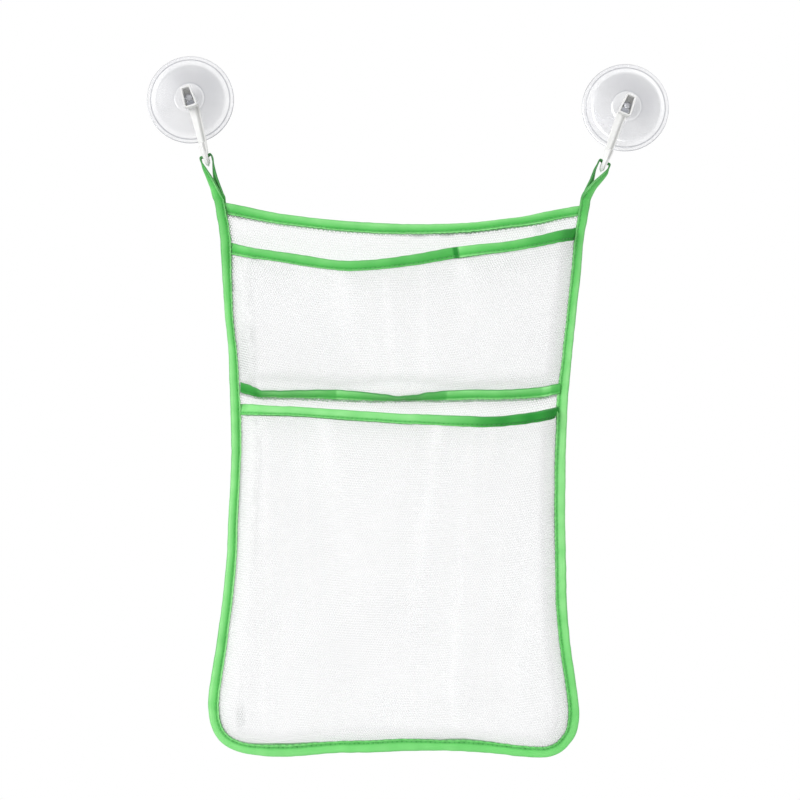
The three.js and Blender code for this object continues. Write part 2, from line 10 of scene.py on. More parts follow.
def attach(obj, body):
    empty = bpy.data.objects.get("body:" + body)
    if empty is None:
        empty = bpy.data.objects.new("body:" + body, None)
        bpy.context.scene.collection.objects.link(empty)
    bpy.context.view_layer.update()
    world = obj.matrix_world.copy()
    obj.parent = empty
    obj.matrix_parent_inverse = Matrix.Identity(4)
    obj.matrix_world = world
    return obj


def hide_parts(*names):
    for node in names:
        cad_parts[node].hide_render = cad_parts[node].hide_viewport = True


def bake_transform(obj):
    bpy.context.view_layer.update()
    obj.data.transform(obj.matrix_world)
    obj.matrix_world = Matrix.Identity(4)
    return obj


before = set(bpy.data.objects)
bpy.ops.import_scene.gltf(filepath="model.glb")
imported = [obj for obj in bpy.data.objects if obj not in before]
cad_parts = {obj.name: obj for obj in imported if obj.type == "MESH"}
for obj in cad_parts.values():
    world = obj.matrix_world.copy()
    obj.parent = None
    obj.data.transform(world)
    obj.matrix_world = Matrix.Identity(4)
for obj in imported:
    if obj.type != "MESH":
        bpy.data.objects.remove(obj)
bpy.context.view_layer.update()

# Hanging net bag with two pockets, bound in folded green tape, on two swivelling
# hooks and two clear suction cups. Lengths here are millimetres, turned to metres
# when a mesh is made. The wall is y = 0 and the bag hangs on its -Y side.

MM = 0.001
scene = bpy.context.scene

# ---------------------------------------------------------------- camera and view

data = bpy.data.cameras.new("camera")
data.sensor_width = 36.0
data.lens = 36.0 * 1200 / 544
data.clip_start = 0.05
camera = bpy.data.objects.new("camera", data)
camera.location = (-0.00534, -1.2, -0.20136)
camera.rotation_euler = (math.pi / 2, 0, 0)
scene.collection.objects.link(camera)
scene.camera = camera
scene.view_settings.view_transform = "Standard"
scene.view_settings.look = "None"

# ---------------------------------------------------------------- outlines, as in the CAD model

CUP_LEFT = (-147.8, 2.7)
CUP_RIGHT = (147.9, -2.7)
LEAN_LEFT = -16.6
LEAN_RIGHT = 22.0
BAG_Y = -11.0
LAYER = 0.45
UPPER_DEPTH = 10.0
LOWER_DEPTH = 11.0
TAPE = 7.0

SIDE_LEFT = [[-126.3, -68.3], [-124.1, -80.4], [-122.8, -90.5], [-122.2, -104], [-121.4, -120.2], [-119.9, -141.1], [-118.3, -157.9], [-116.8, -174.7], [-115.9, -195], [-115.4, -215.2], [-115.1, -235.4], [-115.8, -252.2], [-116.9, -269.8], [-117.9, -289.3], [-118.8, -308.8], [-120.4, -326.3], [-122.3, -343.2], [-124.6, -361.4], [-127, -376.9], [-128.8, -390.4], [-130.3, -401.1], [-130.7, -409.9]]
BOTTOM = [[-129.5, -418.7], [-126.6, -425.4], [-121.8, -430.6], [-112.5, -435.2], [-97.3, -437.4], [-81.1, -437.6], [-67.7, -436.8], [-45.4, -435.5], [-23.9, -434.7], [-2.3, -433.9], [15.2, -433.6], [35.4, -434.1], [48.9, -435.2], [62.4, -436.7], [74.5, -438.1], [86.6, -438.7], [94.7, -438.1], [101.1, -435.2], [106.2, -430.1], [110.2, -423]]
SIDE_RIGHT = [[112, -414.6], [112, -407.2], [110.4, -394.4], [107.9, -376.9], [105.8, -361.4], [104, -343.2], [103.1, -326.3], [102.6, -308.8], [102.3, -289.3], [102.2, -272.4], [102.5, -254.3], [103.2, -235.4], [104.2, -215.2], [105.5, -195], [107.2, -174.7], [109.1, -154.5], [111, -137.7], [113.2, -120.2], [115.3, -98.6], [116.7, -86.5], [118, -78.4], [119.5, -69]]
TOP_LINE = [[-122.2, -72.7], [-107.4, -75.8], [-91.9, -78.6], [-75.1, -81.3], [-57.6, -83.6], [-40, -85.2], [-23.2, -86.1], [-5, -86.5], [8.5, -86.4], [29.4, -85.6], [46.2, -84.2], [63.7, -82.1], [81.2, -79.8], [98.1, -77.1], [114.9, -74.2]]
UPPER_LINE = [[-118.6, -99.5], [-106.6, -102.5], [-91.2, -105.5], [-74.5, -108.4], [-57.1, -111], [-39.7, -112.2], [-27.7, -111.8], [-14.4, -110.5], [-3, -109.1], [8.4, -107.5], [20.4, -105.3], [33.1, -103], [48.4, -101], [63.1, -99.2], [80.5, -96.5], [97.2, -93.1], [111.9, -89.9]]
DIVIDER_LINE = [[-113.3, -192.9], [-100.5, -196.4], [-87.7, -197.7], [-72.3, -198], [-50.7, -198.3], [-37.3, -199], [-23.2, -199.8], [-5.7, -200.2], [11.8, -199.5], [29.3, -198.8], [46.1, -198.4], [63.6, -198.1], [77.1, -197.4], [89.2, -196], [101.3, -193.2]]
LOWER_LINE = [[-111.1, -208.2], [-91.8, -208.9], [-74.4, -209.8], [-57.1, -210.8], [-39.7, -211.9], [-22.4, -212.9], [-6.3, -213.8], [8.4, -214.5], [29, -215.5], [45.7, -216], [63.1, -215.7], [76.4, -214.4], [88.5, -212.5], [99.1, -210.6]]

# loop strands from the corner up: x, z, y and how far they have turned to face front or back
LOOP_LEFT_FRONT = [[-128.4, -63.2, -12.0, 0.72], [-130.9, -57.8, -13.4, 0.52], [-133.8, -51.6, -13.9, 0.42], [-137.0, -45.6, -14.4, 0.28]]
LOOP_LEFT_BACK = [[-126.2, -65.4, -10.5, 0.85], [-126.8, -63.0, -10.6, 0.62], [-128.0, -57.6, -11.3, 0.44], [-129.6, -51.8, -12.6, 0.34], [-130.6, -45.0, -14.1, 0.18]]
LOOP_RIGHT_FRONT = [[121.0, -63.5, -12.0, 0.72], [124.8, -57.8, -13.4, 0.52], [129.2, -53.2, -13.9, 0.42], [133.2, -48.8, -14.4, 0.28]]
LOOP_RIGHT_BACK = [[119.8, -66.2, -10.5, 0.85], [120.4, -63.8, -10.6, 0.62], [121.9, -58.4, -11.3, 0.44], [123.8, -53.4, -12.6, 0.34], [125.7, -46.6, -14.1, 0.18]]

# ---------------------------------------------------------------- curves and noise


def unit(v):
    v = np.asarray(v, float)
    return v / np.maximum(np.linalg.norm(v, axis=-1, keepdims=True), 1e-12)


def catmull(points, per=16):
    """Dense centripetal curve through points of any dimension, and each sample's place in the list."""
    p = np.asarray(points, float)
    p = np.vstack([2 * p[0] - p[1], p, 2 * p[-1] - p[-2]])
    out, place = [], []
    for i in range(1, len(p) - 2):
        p0, p1, p2, p3 = p[i - 1], p[i], p[i + 1], p[i + 2]
        t0 = 0.0
        t1 = t0 + max(np.linalg.norm(p1 - p0), 1e-9) ** 0.5
        t2 = t1 + max(np.linalg.norm(p2 - p1), 1e-9) ** 0.5
        t3 = t2 + max(np.linalg.norm(p3 - p2), 1e-9) ** 0.5
        for j in range(per):
            t = t1 + (t2 - t1) * j / per
            a1 = (t1 - t) / (t1 - t0) * p0 + (t - t0) / (t1 - t0) * p1
            a2 = (t2 - t) / (t2 - t1) * p1 + (t - t1) / (t2 - t1) * p2
            a3 = (t3 - t) / (t3 - t2) * p2 + (t - t2) / (t3 - t2) * p3
            b1 = (t2 - t) / (t2 - t0) * a1 + (t - t0) / (t2 - t0) * a2
            b2 = (t3 - t) / (t3 - t1) * a2 + (t - t1) / (t3 - t1) * a3
            out.append((t2 - t) / (t2 - t1) * b1 + (t - t1) / (t2 - t1) * b2)
            place.append(i - 1 + j / per)
    out.append(p[-2])
    place.append(len(p) - 3.0)
    return np.array(out), np.array(place)


def lengths(p):
    return np.concatenate([[0.0], np.cumsum(np.linalg.norm(np.diff(p, axis=0), axis=1))])


def spaced(p, step=None, count=None, extra=None):
    """A line resampled evenly; extra columns are carried along."""
    s = lengths(p)
    n = count or max(2, int(round(s[-1] / step)) + 1)
    at = np.linspace(0, s[-1], n)
    q = np.column_stack([np.interp(at, s, p[:, k]) for k in range(p.shape[1])])
    if extra is None:
        return q
    return q, np.interp(at, s, extra)


def smooth_line(points, step):
    return spaced(catmull(points)[0], step)


def tangents(p):
    return unit(np.gradient(p, axis=0))


def ease(x, a, b):
    t = np.clip((np.asarray(x, float) - a) / (b - a), 0, 1)
    return t * t * (3 - 2 * t)


class Wave:
    """Smooth seeded noise along a line or over a plane, about -1 to 1."""

    def __init__(self, seed, scale, terms=7, plane=False):
        r = random.Random(seed)
        self.k = []
        for _ in range(terms):
            f = (2 * math.pi / scale) * (0.45 + 1.1 * r.random())
            turn = r.uniform(0, 2 * math.pi)
            self.k.append((f * math.cos(turn) if plane else f, f * math.sin(turn) if plane else 0.0, r.uniform(0, 2 * math.pi), 0.6 + 0.4 * r.random()))
        self.size = sum(a for *_, a in self.k) * 0.5

    def __call__(self, x, y=0.0):
        x = np.asarray(x, float)
        return sum(a * np.sin(fx * x + fy * np.asarray(y, float) + ph) for fx, fy, ph, a in self.k) / self.size


def table(points):
    """A value along x, straight between the listed places."""
    xs, vs = zip(*points)
    return lambda x: np.interp(x, xs, vs)


def soft_table(points):
    """The same, eased between the places."""
    xs, vs = np.array(points, float).T

    def value(x):
        x = np.clip(np.asarray(x, float), xs[0], xs[-1])
        i = np.clip(np.searchsorted(xs, x) - 1, 0, len(xs) - 2)
        t = (x - xs[i]) / (xs[i + 1] - xs[i])
        t = t * t * (3 - 2 * t)
        return vs[i] * (1 - t) + vs[i + 1] * t

    return value


def along(points):
    pts = np.array(sorted(points), float)
    dense = catmull(pts)[0]
    x, z = dense[:, 0], dense[:, 1]

    def value(u):
        u = np.asarray(u, float)
        out = np.interp(u, x, z)
        out = np.where(u < x[0], z[0] + (u - x[0]) * (z[3] - z[0]) / (x[3] - x[0]), out)
        return np.where(u > x[-1], z[-1] + (u - x[-1]) * (z[-1] - z[-4]) / (x[-1] - x[-4]), out)

    return value


left_x = along([[z, x] for x, z in SIDE_LEFT])
right_x = along([[z, x] for x, z in SIDE_RIGHT])
top_z = along(TOP_LINE)
upper_z = along(UPPER_LINE)
divider_z = along(DIVIDER_LINE)
lower_z = along(LOWER_LINE)
EDGE = smooth_line(SIDE_LEFT + BOTTOM + SIDE_RIGHT, 2.0)


def edge_distance(x, z):
    """How far inside the bound outline a point lies."""
    shape = np.shape(x)
    q = np.column_stack([np.ravel(x), np.ravel(z)])
    best = np.full(len(q), 1e9)
    a, b = EDGE[:-1], EDGE[1:]
    ab = b - a
    for i in range(0, len(q), 2000):
        c = q[i : i + 2000, None, :] - a[None]
        t = np.clip((c * ab).sum(-1) / (ab * ab).sum(-1), 0, 1)
        d = np.linalg.norm(c - t[..., None] * ab, axis=-1)
        best[i : i + 2000] = d.min(1)
    return best.reshape(shape)


# ---------------------------------------------------------------- meshes


def mesh_object(name, verts, faces, uv=None, attributes=None, material=None, smooth=True, outward=False):
    me = bpy.data.meshes.new(name)
    me.from_pydata((np.asarray(verts, float) * MM).tolist(), [], [list(map(int, f)) for f in faces])
    if uv is not None:
        layer = me.uv_layers.new(name="UVMap")
        layer.data.foreach_set("uv", np.asarray(uv, np.float32).ravel())
    for key, values in (attributes or {}).items():
        item = me.attributes.new(key, "FLOAT", "POINT")
        item.data.foreach_set("value", np.asarray(values, np.float32).ravel())
    if outward:
        bm = bmesh.new()
        bm.from_mesh(me)
        bmesh.ops.recalc_face_normals(bm, faces=bm.faces)
        bm.to_mesh(me)
        bm.free()
    me.polygons.foreach_set("use_smooth", [smooth] * len(me.polygons))
    me.update()
    obj = bpy.data.objects.new(name, me)
    scene.collection.objects.link(obj)
    if material:
        me.materials.append(material)
    return obj


def sweep(name, P, A, B, sections, u=None, attributes=None, material=None, caps=True):
    """A closed section swept through frames; UVs are millimetres along and round."""
    n, m = sections.shape[:2]
    verts = P[:, None, :] + sections[..., 0:1] * A[:, None, :] + sections[..., 1:2] * B[:, None, :]
    i, k = np.meshgrid(np.arange(n - 1), np.arange(m), indexing="ij")
    l = (k + 1) % m
    faces = np.stack([i * m + k, i * m + l, (i + 1) * m + l, (i + 1) * m + k], -1).reshape(-1, 4)
    u = lengths(P) if u is None else u
    ring = sections[n // 2]
    v = np.concatenate([lengths(ring), [lengths(np.vstack([ring, ring[:1]]))[-1]]])
    uv = np.stack([np.stack([u[i], v[k]], -1), np.stack([u[i], v[k + 1]], -1), np.stack([u[i + 1], v[k + 1]], -1), np.stack([u[i + 1], v[k]], -1)], 2).reshape(-1, 2)
    faces = faces.tolist()
    uv = uv.tolist()
    if caps:
        for at, order in ((0, range(m - 1, -1, -1)), (n - 1, range(m))):
            order = list(order)
            faces.append([at * m + q for q in order])
            uv += [[u[at] + sections[at, q, 1], v[q]] for q in order]
    obj = mesh_object(name, verts.reshape(-1, 3), faces, np.array(uv), attributes, material, outward=True)
    if caps:
        ends = np.zeros(2 * len(obj.data.edges), np.int32)
        obj.data.edges.foreach_get("vertices", ends)
        ends = ends.reshape(-1, 2)
        obj.data.edges.foreach_set("use_edge_sharp", (ends < m).all(1) | (ends >= (n - 1) * m).all(1))
    return obj


def sharpen(obj, degrees):
    bm = bmesh.new()
    bm.from_mesh(obj.data)
    for e in bm.edges:
        e.smooth = e.calc_face_angle(0) < math.radians(degrees)
    bm.to_mesh(obj.data)
    bm.free()


# ---------------------------------------------------------------- materials


class Graph:
    """A small helper for building node materials."""

    def __init__(self, name):
        self.material = bpy.data.materials.new(name)
        self.material.use_nodes = True
        self.tree = self.material.node_tree
        self.tree.nodes.clear()
        self.out = self.tree.nodes.new("ShaderNodeOutputMaterial")
        self.bsdf = self.tree.nodes.new("ShaderNodeBsdfPrincipled")
        self.tree.links.new(self.bsdf.outputs[0], self.out.inputs[0])

    def put(self, socket, value):
        if isinstance(value, bpy.types.NodeSocket):
            self.tree.links.new(value, socket)
        else:
            socket.default_value = value

    def set(self, **values):
        for key, value in values.items():
            self.put(self.bsdf.inputs[key.replace("_", " ")], value)

    def node(self, kind, *inputs, **settings):
        n = self.tree.nodes.new("ShaderNode" + kind)
        for key, value in settings.items():
            setattr(n, key, value)
        for i, value in enumerate(inputs):
            if value is not None:
                self.put(n.inputs[i], value)
        return n

    def math(self, operation, a, b=None, c=None, clamp=False):
        return self.node("Math", a, b, c, operation=operation, use_clamp=clamp).outputs[0]

    def vec(self, operation, a, b=None):
        n = self.node("VectorMath", a, b, operation=operation)
        return n.outputs[1] if operation in ("DOT_PRODUCT", "LENGTH", "DISTANCE") else n.outputs[0]

    def span(self, value, a, b, c=0.0, d=1.0, smooth=False):
        return self.node("MapRange", value, a, b, c, d, interpolation_type="SMOOTHSTEP" if smooth else "LINEAR").outputs[0]

    def mix(self, factor, a, b, blend="MIX"):
        n = self.tree.nodes.new("ShaderNodeMix")
        n.data_type = "RGBA"
        n.blend_type = blend
        n.clamp_factor = True
        self.put(n.inputs[0], factor)
        self.put(n.inputs[6], a)
        self.put(n.inputs[7], b)
        return n.outputs[2]

    def noise(self, vector, scale, detail=3.0, rough=0.55, distortion=0.0):
        n = self.node("TexNoise")
        self.put(n.inputs["Vector"], vector)
        self.put(n.inputs["Scale"], scale)
        self.put(n.inputs["Detail"], detail)
        self.put(n.inputs["Roughness"], rough)
        self.put(n.inputs["Distortion"], distortion)
        return n.outputs[0]

    def uv(self):
        return self.node("UVMap", uv_map="UVMap").outputs[0]

    def place(self):
        return self.node("TexCoord").outputs["Object"]

    def attribute(self, name):
        return self.node("Attribute", attribute_name=name).outputs["Fac"]

    def split(self, vector):
        n = self.node("SeparateXYZ", vector)
        return n.outputs[0], n.outputs[1], n.outputs[2]

    def join(self, x, y, z=0.0):
        return self.node("CombineXYZ", x, y, z).outputs[0]

    def bump(self, height, strength, distance, normal=None):
        n = self.node("Bump")
        n.inputs["Strength"].default_value = strength
        n.inputs["Distance"].default_value = distance
        self.put(n.inputs["Height"], height)
        if normal is not None:
            self.put(n.inputs["Normal"], normal)
        return n.outputs[0]


def srgb(r, g, b):
    def lin(c):
        c /= 255
        return c / 12.92 if c <= 0.04045 else ((c + 0.055) / 1.055) ** 2.4

    return (lin(r), lin(g), lin(b), 1.0)


def net_material():
    g = Graph("white_net")
    uv = g.uv()
    # hexagon net: the nearer of two sets of cell middles, then the distance to the cell's edge
    pitch = 1.65
    drift = g.node("TexNoise", uv, None, 0.12, 2.0)
    wander = g.vec("MULTIPLY", g.vec("SUBTRACT", drift.outputs[1], (0.5, 0.5, 0.5)), (0.55, 0.55, 0.0))
    p = g.vec("MULTIPLY", g.vec("ADD", uv, wander), (1 / pitch, 0.86 / pitch, 0.0))
    s = (1.0, math.sqrt(3), 1.0)
    h = (0.5, math.sqrt(3) / 2, 0.0)
    a = g.vec("SUBTRACT", g.vec("MODULO", p, s), h)
    b = g.vec("SUBTRACT", g.vec("MODULO", g.vec("ADD", p, h), s), h)
    nearer = g.math("LESS_THAN", g.vec("DOT_PRODUCT", b, b), g.vec("DOT_PRODUCT", a, a))
    pick = g.tree.nodes.new("ShaderNodeMix")
    pick.data_type = "VECTOR"
    g.put(pick.inputs[0], nearer)
    g.put(pick.inputs[4], a)
    g.put(pick.inputs[5], b)
    cell = g.vec("ABSOLUTE", pick.outputs[1])
    cx, _, _ = g.split(cell)
    reach = g.math("MAXIMUM", cx, g.vec("DOT_PRODUCT", cell, (0.5, math.sqrt(3) / 2, 0.0)))
    edge = g.math("SUBTRACT", 0.5, reach)
    # strands swell at the knots and vary a little
    uneven = g.noise(uv, 0.9, 2.0)
    half = g.span(uneven, 0.3, 0.7, 0.088, 0.128)
    strand = g.math("SUBTRACT", 1.0, g.span(g.math("SUBTRACT", edge, half), -0.02, 0.02), clamp=True)
    # loose filaments cross each cell, and the cells close where the shade attribute is high: where the net is gathered
    # and where shade is painted on it
    shade = g.attribute("shade")
    cover = g.math("MAXIMUM", strand, g.math("ADD", g.span(uneven, 0.3, 0.7, 0.08, 0.14), g.math("MULTIPLY", shade, 0.75), clamp=True))
    round_ = g.math("SUBTRACT", 1.0, g.math("POWER", g.math("DIVIDE", edge, half), 2.0), clamp=True)
    u, v, _ = g.split(uv)
    ply = g.math("SINE", g.math("MULTIPLY", g.math("ADD", u, g.math("MULTIPLY", v, 1.6)), 16.0))
    tone = g.noise(uv, 0.02, 3.0)
    colour = g.mix(g.span(tone, 0.35, 0.7), srgb(244, 244, 244), srgb(240, 240, 240))
    colour = g.mix(g.math("MULTIPLY", g.span(ply, -1.0, 1.0), 0.10), colour, srgb(224, 227, 231))
    # painted shade: the same attribute greys the net where it is gathered, under the top tape, near the sides and at a
    # few spots
    colour = g.mix(g.math("MULTIPLY", shade, g.span(uneven, 0.25, 0.7, 0.55, 1.0)), colour, srgb(112, 126, 118))
    normal = g.bump(g.math("ADD", round_, g.math("MULTIPLY", ply, 0.12)), 0.30, 0.0002)
    g.set(Base_Color=colour, Roughness=g.span(uneven, 0.3, 0.7, 0.55, 0.75), Alpha=cover, Normal=normal)
    g.bsdf.inputs["Sheen Weight"].default_value = 0.25
    g.bsdf.inputs["Sheen Roughness"].default_value = 0.4
    g.bsdf.inputs["Specular IOR Level"].default_value = 0.35
    return g.material


def tape_material():
    g = Graph("green_tape")
    uv = g.uv()
    u, v, _ = g.split(uv)
    # fine cross ribs broken by the warp, as on a woven binding
    rib = g.math("SINE", g.math("MULTIPLY", u, 2 * math.pi / 0.62))
    warp = g.math("SINE", g.math("ADD", g.math("MULTIPLY", v, 2 * math.pi / 0.5), g.math("MULTIPLY", g.math("SIGN", rib), 1.57)))
    weave = g.math("ADD", g.math("MULTIPLY", rib, 0.6), g.math("MULTIPLY", warp, 0.4))
    stretch = g.noise(g.vec("MULTIPLY", uv, (0.05, 0.9, 0.0)), 1.0, 4.0, 0.6)
    dye = g.noise(g.place(), 55.0, 3.0)
    speck = g.noise(g.place(), 900.0, 2.0)
    edge_wear_and_shade = g.attribute("edge")
    groove = g.attribute("groove")
    fade = g.attribute("fade")
    deep = g.attribute("deep")
    # painted light, lighter where the cloth is folded and along its free edge
    light = g.math("MULTIPLY", fade, g.span(stretch, 0.25, 0.75, 0.80, 1.15), clamp=True)
    colour = g.mix(g.span(dye, 0.3, 0.72), srgb(83, 195, 86), srgb(95, 209, 96))
    colour = g.mix(light, colour, srgb(154, 233, 148))
    # painted shade: darker green along shaded stretches of tape, and in dashes along its free edge
    colour = g.mix(deep, colour, srgb(14, 134, 36))
    colour = g.mix(g.math("MULTIPLY", g.span(weave, 0.1, -0.9), 0.20), colour, srgb(52, 150, 60))
    # painted shade in the stitched groove
    colour = g.mix(g.math("MULTIPLY", groove, 0.8, clamp=True), colour, srgb(46, 132, 52))
    # both edges are greyer: painted shade where the cloth turns away, with some rubbed wear
    rub_and_shade = g.math("MULTIPLY", edge_wear_and_shade, g.span(speck, 0.3, 0.7, 0.55, 1.0), clamp=True)
    colour = g.mix(g.math("MULTIPLY", rub_and_shade, 0.80), colour, srgb(98, 148, 104))
    normal = g.bump(weave, 0.35, 0.00012)
    normal = g.bump(stretch, 0.25, 0.0005, normal)
    g.set(Base_Color=colour, Roughness=g.span(g.math("ADD", speck, g.math("MULTIPLY", edge_wear_and_shade, 0.2)), 0.3, 0.9, 0.40, 0.62), Normal=normal)
    g.bsdf.inputs["Sheen Weight"].default_value = 0.08
    g.bsdf.inputs["Sheen Roughness"].default_value = 0.4
    g.bsdf.inputs["Sheen Tint"].default_value = srgb(190, 255, 185)
    g.bsdf.inputs["Specular IOR Level"].default_value = 0.28
    return g.material


def thread_material():
    g = Graph("green_thread")
    u, v, _ = g.split(g.uv())
    twist = g.math("SINE", g.math("ADD", g.math("MULTIPLY", u, 13.0), g.math("MULTIPLY", v, 3.4)))
    fuzz = g.noise(g.place(), 1600.0, 2.0)
    colour = g.mix(g.span(twist, -0.9, 0.9), srgb(68, 172, 74), srgb(108, 208, 110))
    colour = g.mix(g.math("MULTIPLY", g.span(fuzz, 0.4, 0.75), 0.35), colour, srgb(146, 226, 146))
    # the dark attribute darkens the thread: painted shade where it follows the tape's painted shade, and given values
    # on the overcast and bar-tack rows
    colour = g.mix(g.attribute("dark"), colour, g.mix(g.span(twist, -0.9, 0.9), srgb(16, 88, 30), srgb(40, 120, 52)))
    g.set(Base_Color=colour, Roughness=g.span(fuzz, 0.3, 0.7, 0.45, 0.7), Normal=g.bump(twist, 0.5, 0.0001))
    g.bsdf.inputs["Sheen Weight"].default_value = 0.3
    return g.material


def plastic_material():
    g = Graph("white_plastic")
    p = g.place()
    flow = g.noise(g.vec("MULTIPLY", p, (1.0, 1.0, 0.35)), 160.0, 3.0)
    grain = g.noise(p, 2600.0, 2.0)
    scuff = g.noise(g.vec("MULTIPLY", p, (1.0, 1.0, 6.0)), 420.0, 4.0, 0.7)
    colour = g.mix(g.span(flow, 0.3, 0.7), srgb(236, 236, 235), srgb(229, 229, 227))
    colour = g.mix(g.math("MULTIPLY", g.span(scuff, 0.62, 0.8), 0.25), colour, srgb(214, 214, 211))
    # painted shade inside the hook's box and along the foot of the arm's rib
    colour = g.mix(g.attribute("recess"), colour, srgb(128, 128, 124))
    rough = g.math("ADD", g.span(grain, 0.3, 0.7, 0.26, 0.34), g.math("MULTIPLY", g.span(scuff, 0.55, 0.8), 0.14))
    g.set(Base_Color=colour, Roughness=rough, Normal=g.bump(grain, 0.06, 0.0001))
    g.bsdf.inputs["Subsurface Weight"].default_value = 0.35
    g.bsdf.inputs["Subsurface Radius"].default_value = (0.003, 0.003, 0.0028)
    g.bsdf.inputs["Specular IOR Level"].default_value = 0.5
    return g.material


def clear_material():
    g = Graph("clear_pvc")
    p = g.place()
    haze = g.noise(p, 45.0, 1.0, 0.4)
    tint = g.attribute("tint")
    colour = g.mix(g.span(haze, 0.3, 0.75), srgb(253, 253, 254), srgb(249, 249, 251))
    # the tint attribute greys the plastic: a little where it is thick, and with painted shade and a painted shadow of
    # the hook
    colour = g.mix(g.math("MULTIPLY", tint, g.span(haze, 0.3, 0.7, 0.96, 1.04), clamp=True), colour, srgb(96, 100, 112))
    knob = g.attribute("knob")
    g.set(Base_Color=colour, Roughness=g.math("ADD", g.span(haze, 0.35, 0.75, 0.20, 0.28), g.math("MULTIPLY", knob, 0.4)))
    g.bsdf.inputs["Specular Tint"].default_value = (0.45, 0.45, 0.45, 1.0)
    g.bsdf.inputs["Transmission Weight"].default_value = 0.8
    g.bsdf.inputs["IOR"].default_value = 1.5
    return g.material


NET = net_material()
GREEN = tape_material()
THREAD = thread_material()
WHITE = plastic_material()
CLEAR = clear_material()

# ---------------------------------------------------------------- light and floor


def studio():
    world = bpy.data.worlds.new("studio")
    scene.world = world
    world.use_nodes = True
    t = world.node_tree
    t.nodes.clear()
    out = t.nodes.new("ShaderNodeOutputWorld")
    mix = t.nodes.new("ShaderNodeMixShader")
    path = t.nodes.new("ShaderNodeLightPath")
    seen = t.nodes.new("ShaderNodeBackground")
    seen.inputs[0].default_value = (1, 1, 1, 1)
    seen.inputs[1].default_value = 1.0
    lit = t.nodes.new("ShaderNodeBackground")
    lit.inputs[1].default_value = 0.85
    coord = t.nodes.new("ShaderNodeTexCoord")
    split = t.nodes.new("ShaderNodeSeparateXYZ")
    ramp = t.nodes.new("ShaderNodeValToRGB")
    ramp.color_ramp.elements[0].position = 0.0
    ramp.color_ramp.elements[0].color = (0.30, 0.30, 0.31, 1)
    ramp.color_ramp.elements[1].position = 1.0
    ramp.color_ramp.elements[1].color = (0.98, 0.98, 0.98, 1)
    middle = ramp.color_ramp.elements.new(0.5)
    middle.color = (0.62, 0.62, 0.63, 1)
    fit = t.nodes.new("ShaderNodeMapRange")
    fit.inputs[1].default_value = -1
    t.links.new(coord.outputs["Generated"], split.inputs[0])
    t.links.new(split.outputs[2], fit.inputs[0])
    t.links.new(fit.outputs[0], ramp.inputs[0])
    t.links.new(ramp.outputs[0], lit.inputs[0])
    either = t.nodes.new("ShaderNodeMath")
    either.operation = "MAXIMUM"
    t.links.new(path.outputs["Is Camera Ray"], either.inputs[0])
    t.links.new(path.outputs["Is Transmission Ray"], either.inputs[1])
    t.links.new(either.outputs[0], mix.inputs[0])
    t.links.new(lit.outputs[0], mix.inputs[1])
    t.links.new(seen.outputs[0], mix.inputs[2])
    t.links.new(mix.outputs[0], out.inputs[0])

    def area(name, place, target, size, power, colour=(1, 1, 1)):
        light = bpy.data.lights.new(name, "AREA")
        light.shape = "DISK"
        light.size = size
        light.energy = power
        light.color = colour
        obj = bpy.data.objects.new(name, light)
        obj.location = place
        obj.rotation_euler = (Vector(target) - Vector(place)).to_track_quat("-Z", "Y").to_euler()
        obj.visible_camera = False
        scene.collection.objects.link(obj)

    area("key", (-2.1, -2.0, 1.0), (0, 0, -0.2), 2.0, 58.0)
    area("fill", (1.5, -1.1, 0.1), (0, 0, -0.2), 0.9, 5.0)
    area("back", (1.5, 2.1, 1.1), (0, 0, -0.2), 2.0, 20.0)

    g = Graph("floor")
    tone = g.noise(g.place(), 3.0, 3.0)
    g.set(Base_Color=g.mix(tone, srgb(246, 246, 246), srgb(240, 240, 241)), Roughness=g.span(tone, 0.3, 0.7, 0.55, 0.65))
    n = 96
    round_at = lambda r: [(r * math.cos(2 * math.pi * k / n), r * math.sin(2 * math.pi * k / n), -760.0) for k in range(n)]
    verts = round_at(300.0) + round_at(750.0) + round_at(1150.0)
    faces = [list(range(n))] + [(j * n + k, (j + 1) * n + k, (j + 1) * n + (k + 1) % n, j * n + (k + 1) % n) for j in range(2) for k in range(n)]
    mesh_object("floor", verts, faces, material=g.material)


studio()

# ---------------------------------------------------------------- net surfaces


# the tape at the upper pocket's foot: how far it has tipped forward, in degrees, and where its lower edge is
foot_turn = soft_table([(-114, 0), (-108, 10), (-103, 34), (-98, 54), (-91, 54), (-80, 50), (-70, 44), (-58, 34), (-48, 22), (-38, 30), (-28, 42), (-17, 57), (-6, 72), (5, 63), (15, 44), (26, 26), (37, 16), (48, 20), (59, 24), (69, 26), (80, 19), (91, 6), (102, 4)])
foot_drop = soft_table([(-113, 3.1), (-101, 2.7), (-89, 1.7), (-77, 1.5), (-65, 2.0), (-52, 2.4), (-40, 2.3), (-28, 1.9), (-15, 1.3), (-3, 1.0), (9, 1.6), (22, 2.3), (34, 2.6), (59, 2.6), (71, 2.7), (83, 3.2), (95, 3.8), (102, 4.0)])


def foot_z(x):
    return divider_z(x) - foot_drop(x)


def flank(d, start, end, crease):
    s = np.clip((d - start) / (end - start), 0, 1)
    return (1 - crease) * (np.sin(0.5 * np.pi * s) ** 1.15) + crease * (s * (1.32 - 0.32 * s * s))


ripple_back = Wave(3, 95, plane=True)
ripple_low = Wave(11, 80, plane=True)
ripple_low_fine = Wave(12, 26, plane=True)
ripple_up = Wave(21, 70, plane=True)
ripple_up_fine = Wave(22, 24, plane=True)


def back_y(x, z):
    d = edge_distance(x, z)
    dt = top_z(x) - z
    w = ease(d, 3, 34) * ease(dt, 3, 26)
    return BAG_Y + LAYER + w * (1.3 + 1.1 * ripple_back(x, z * 0.6))


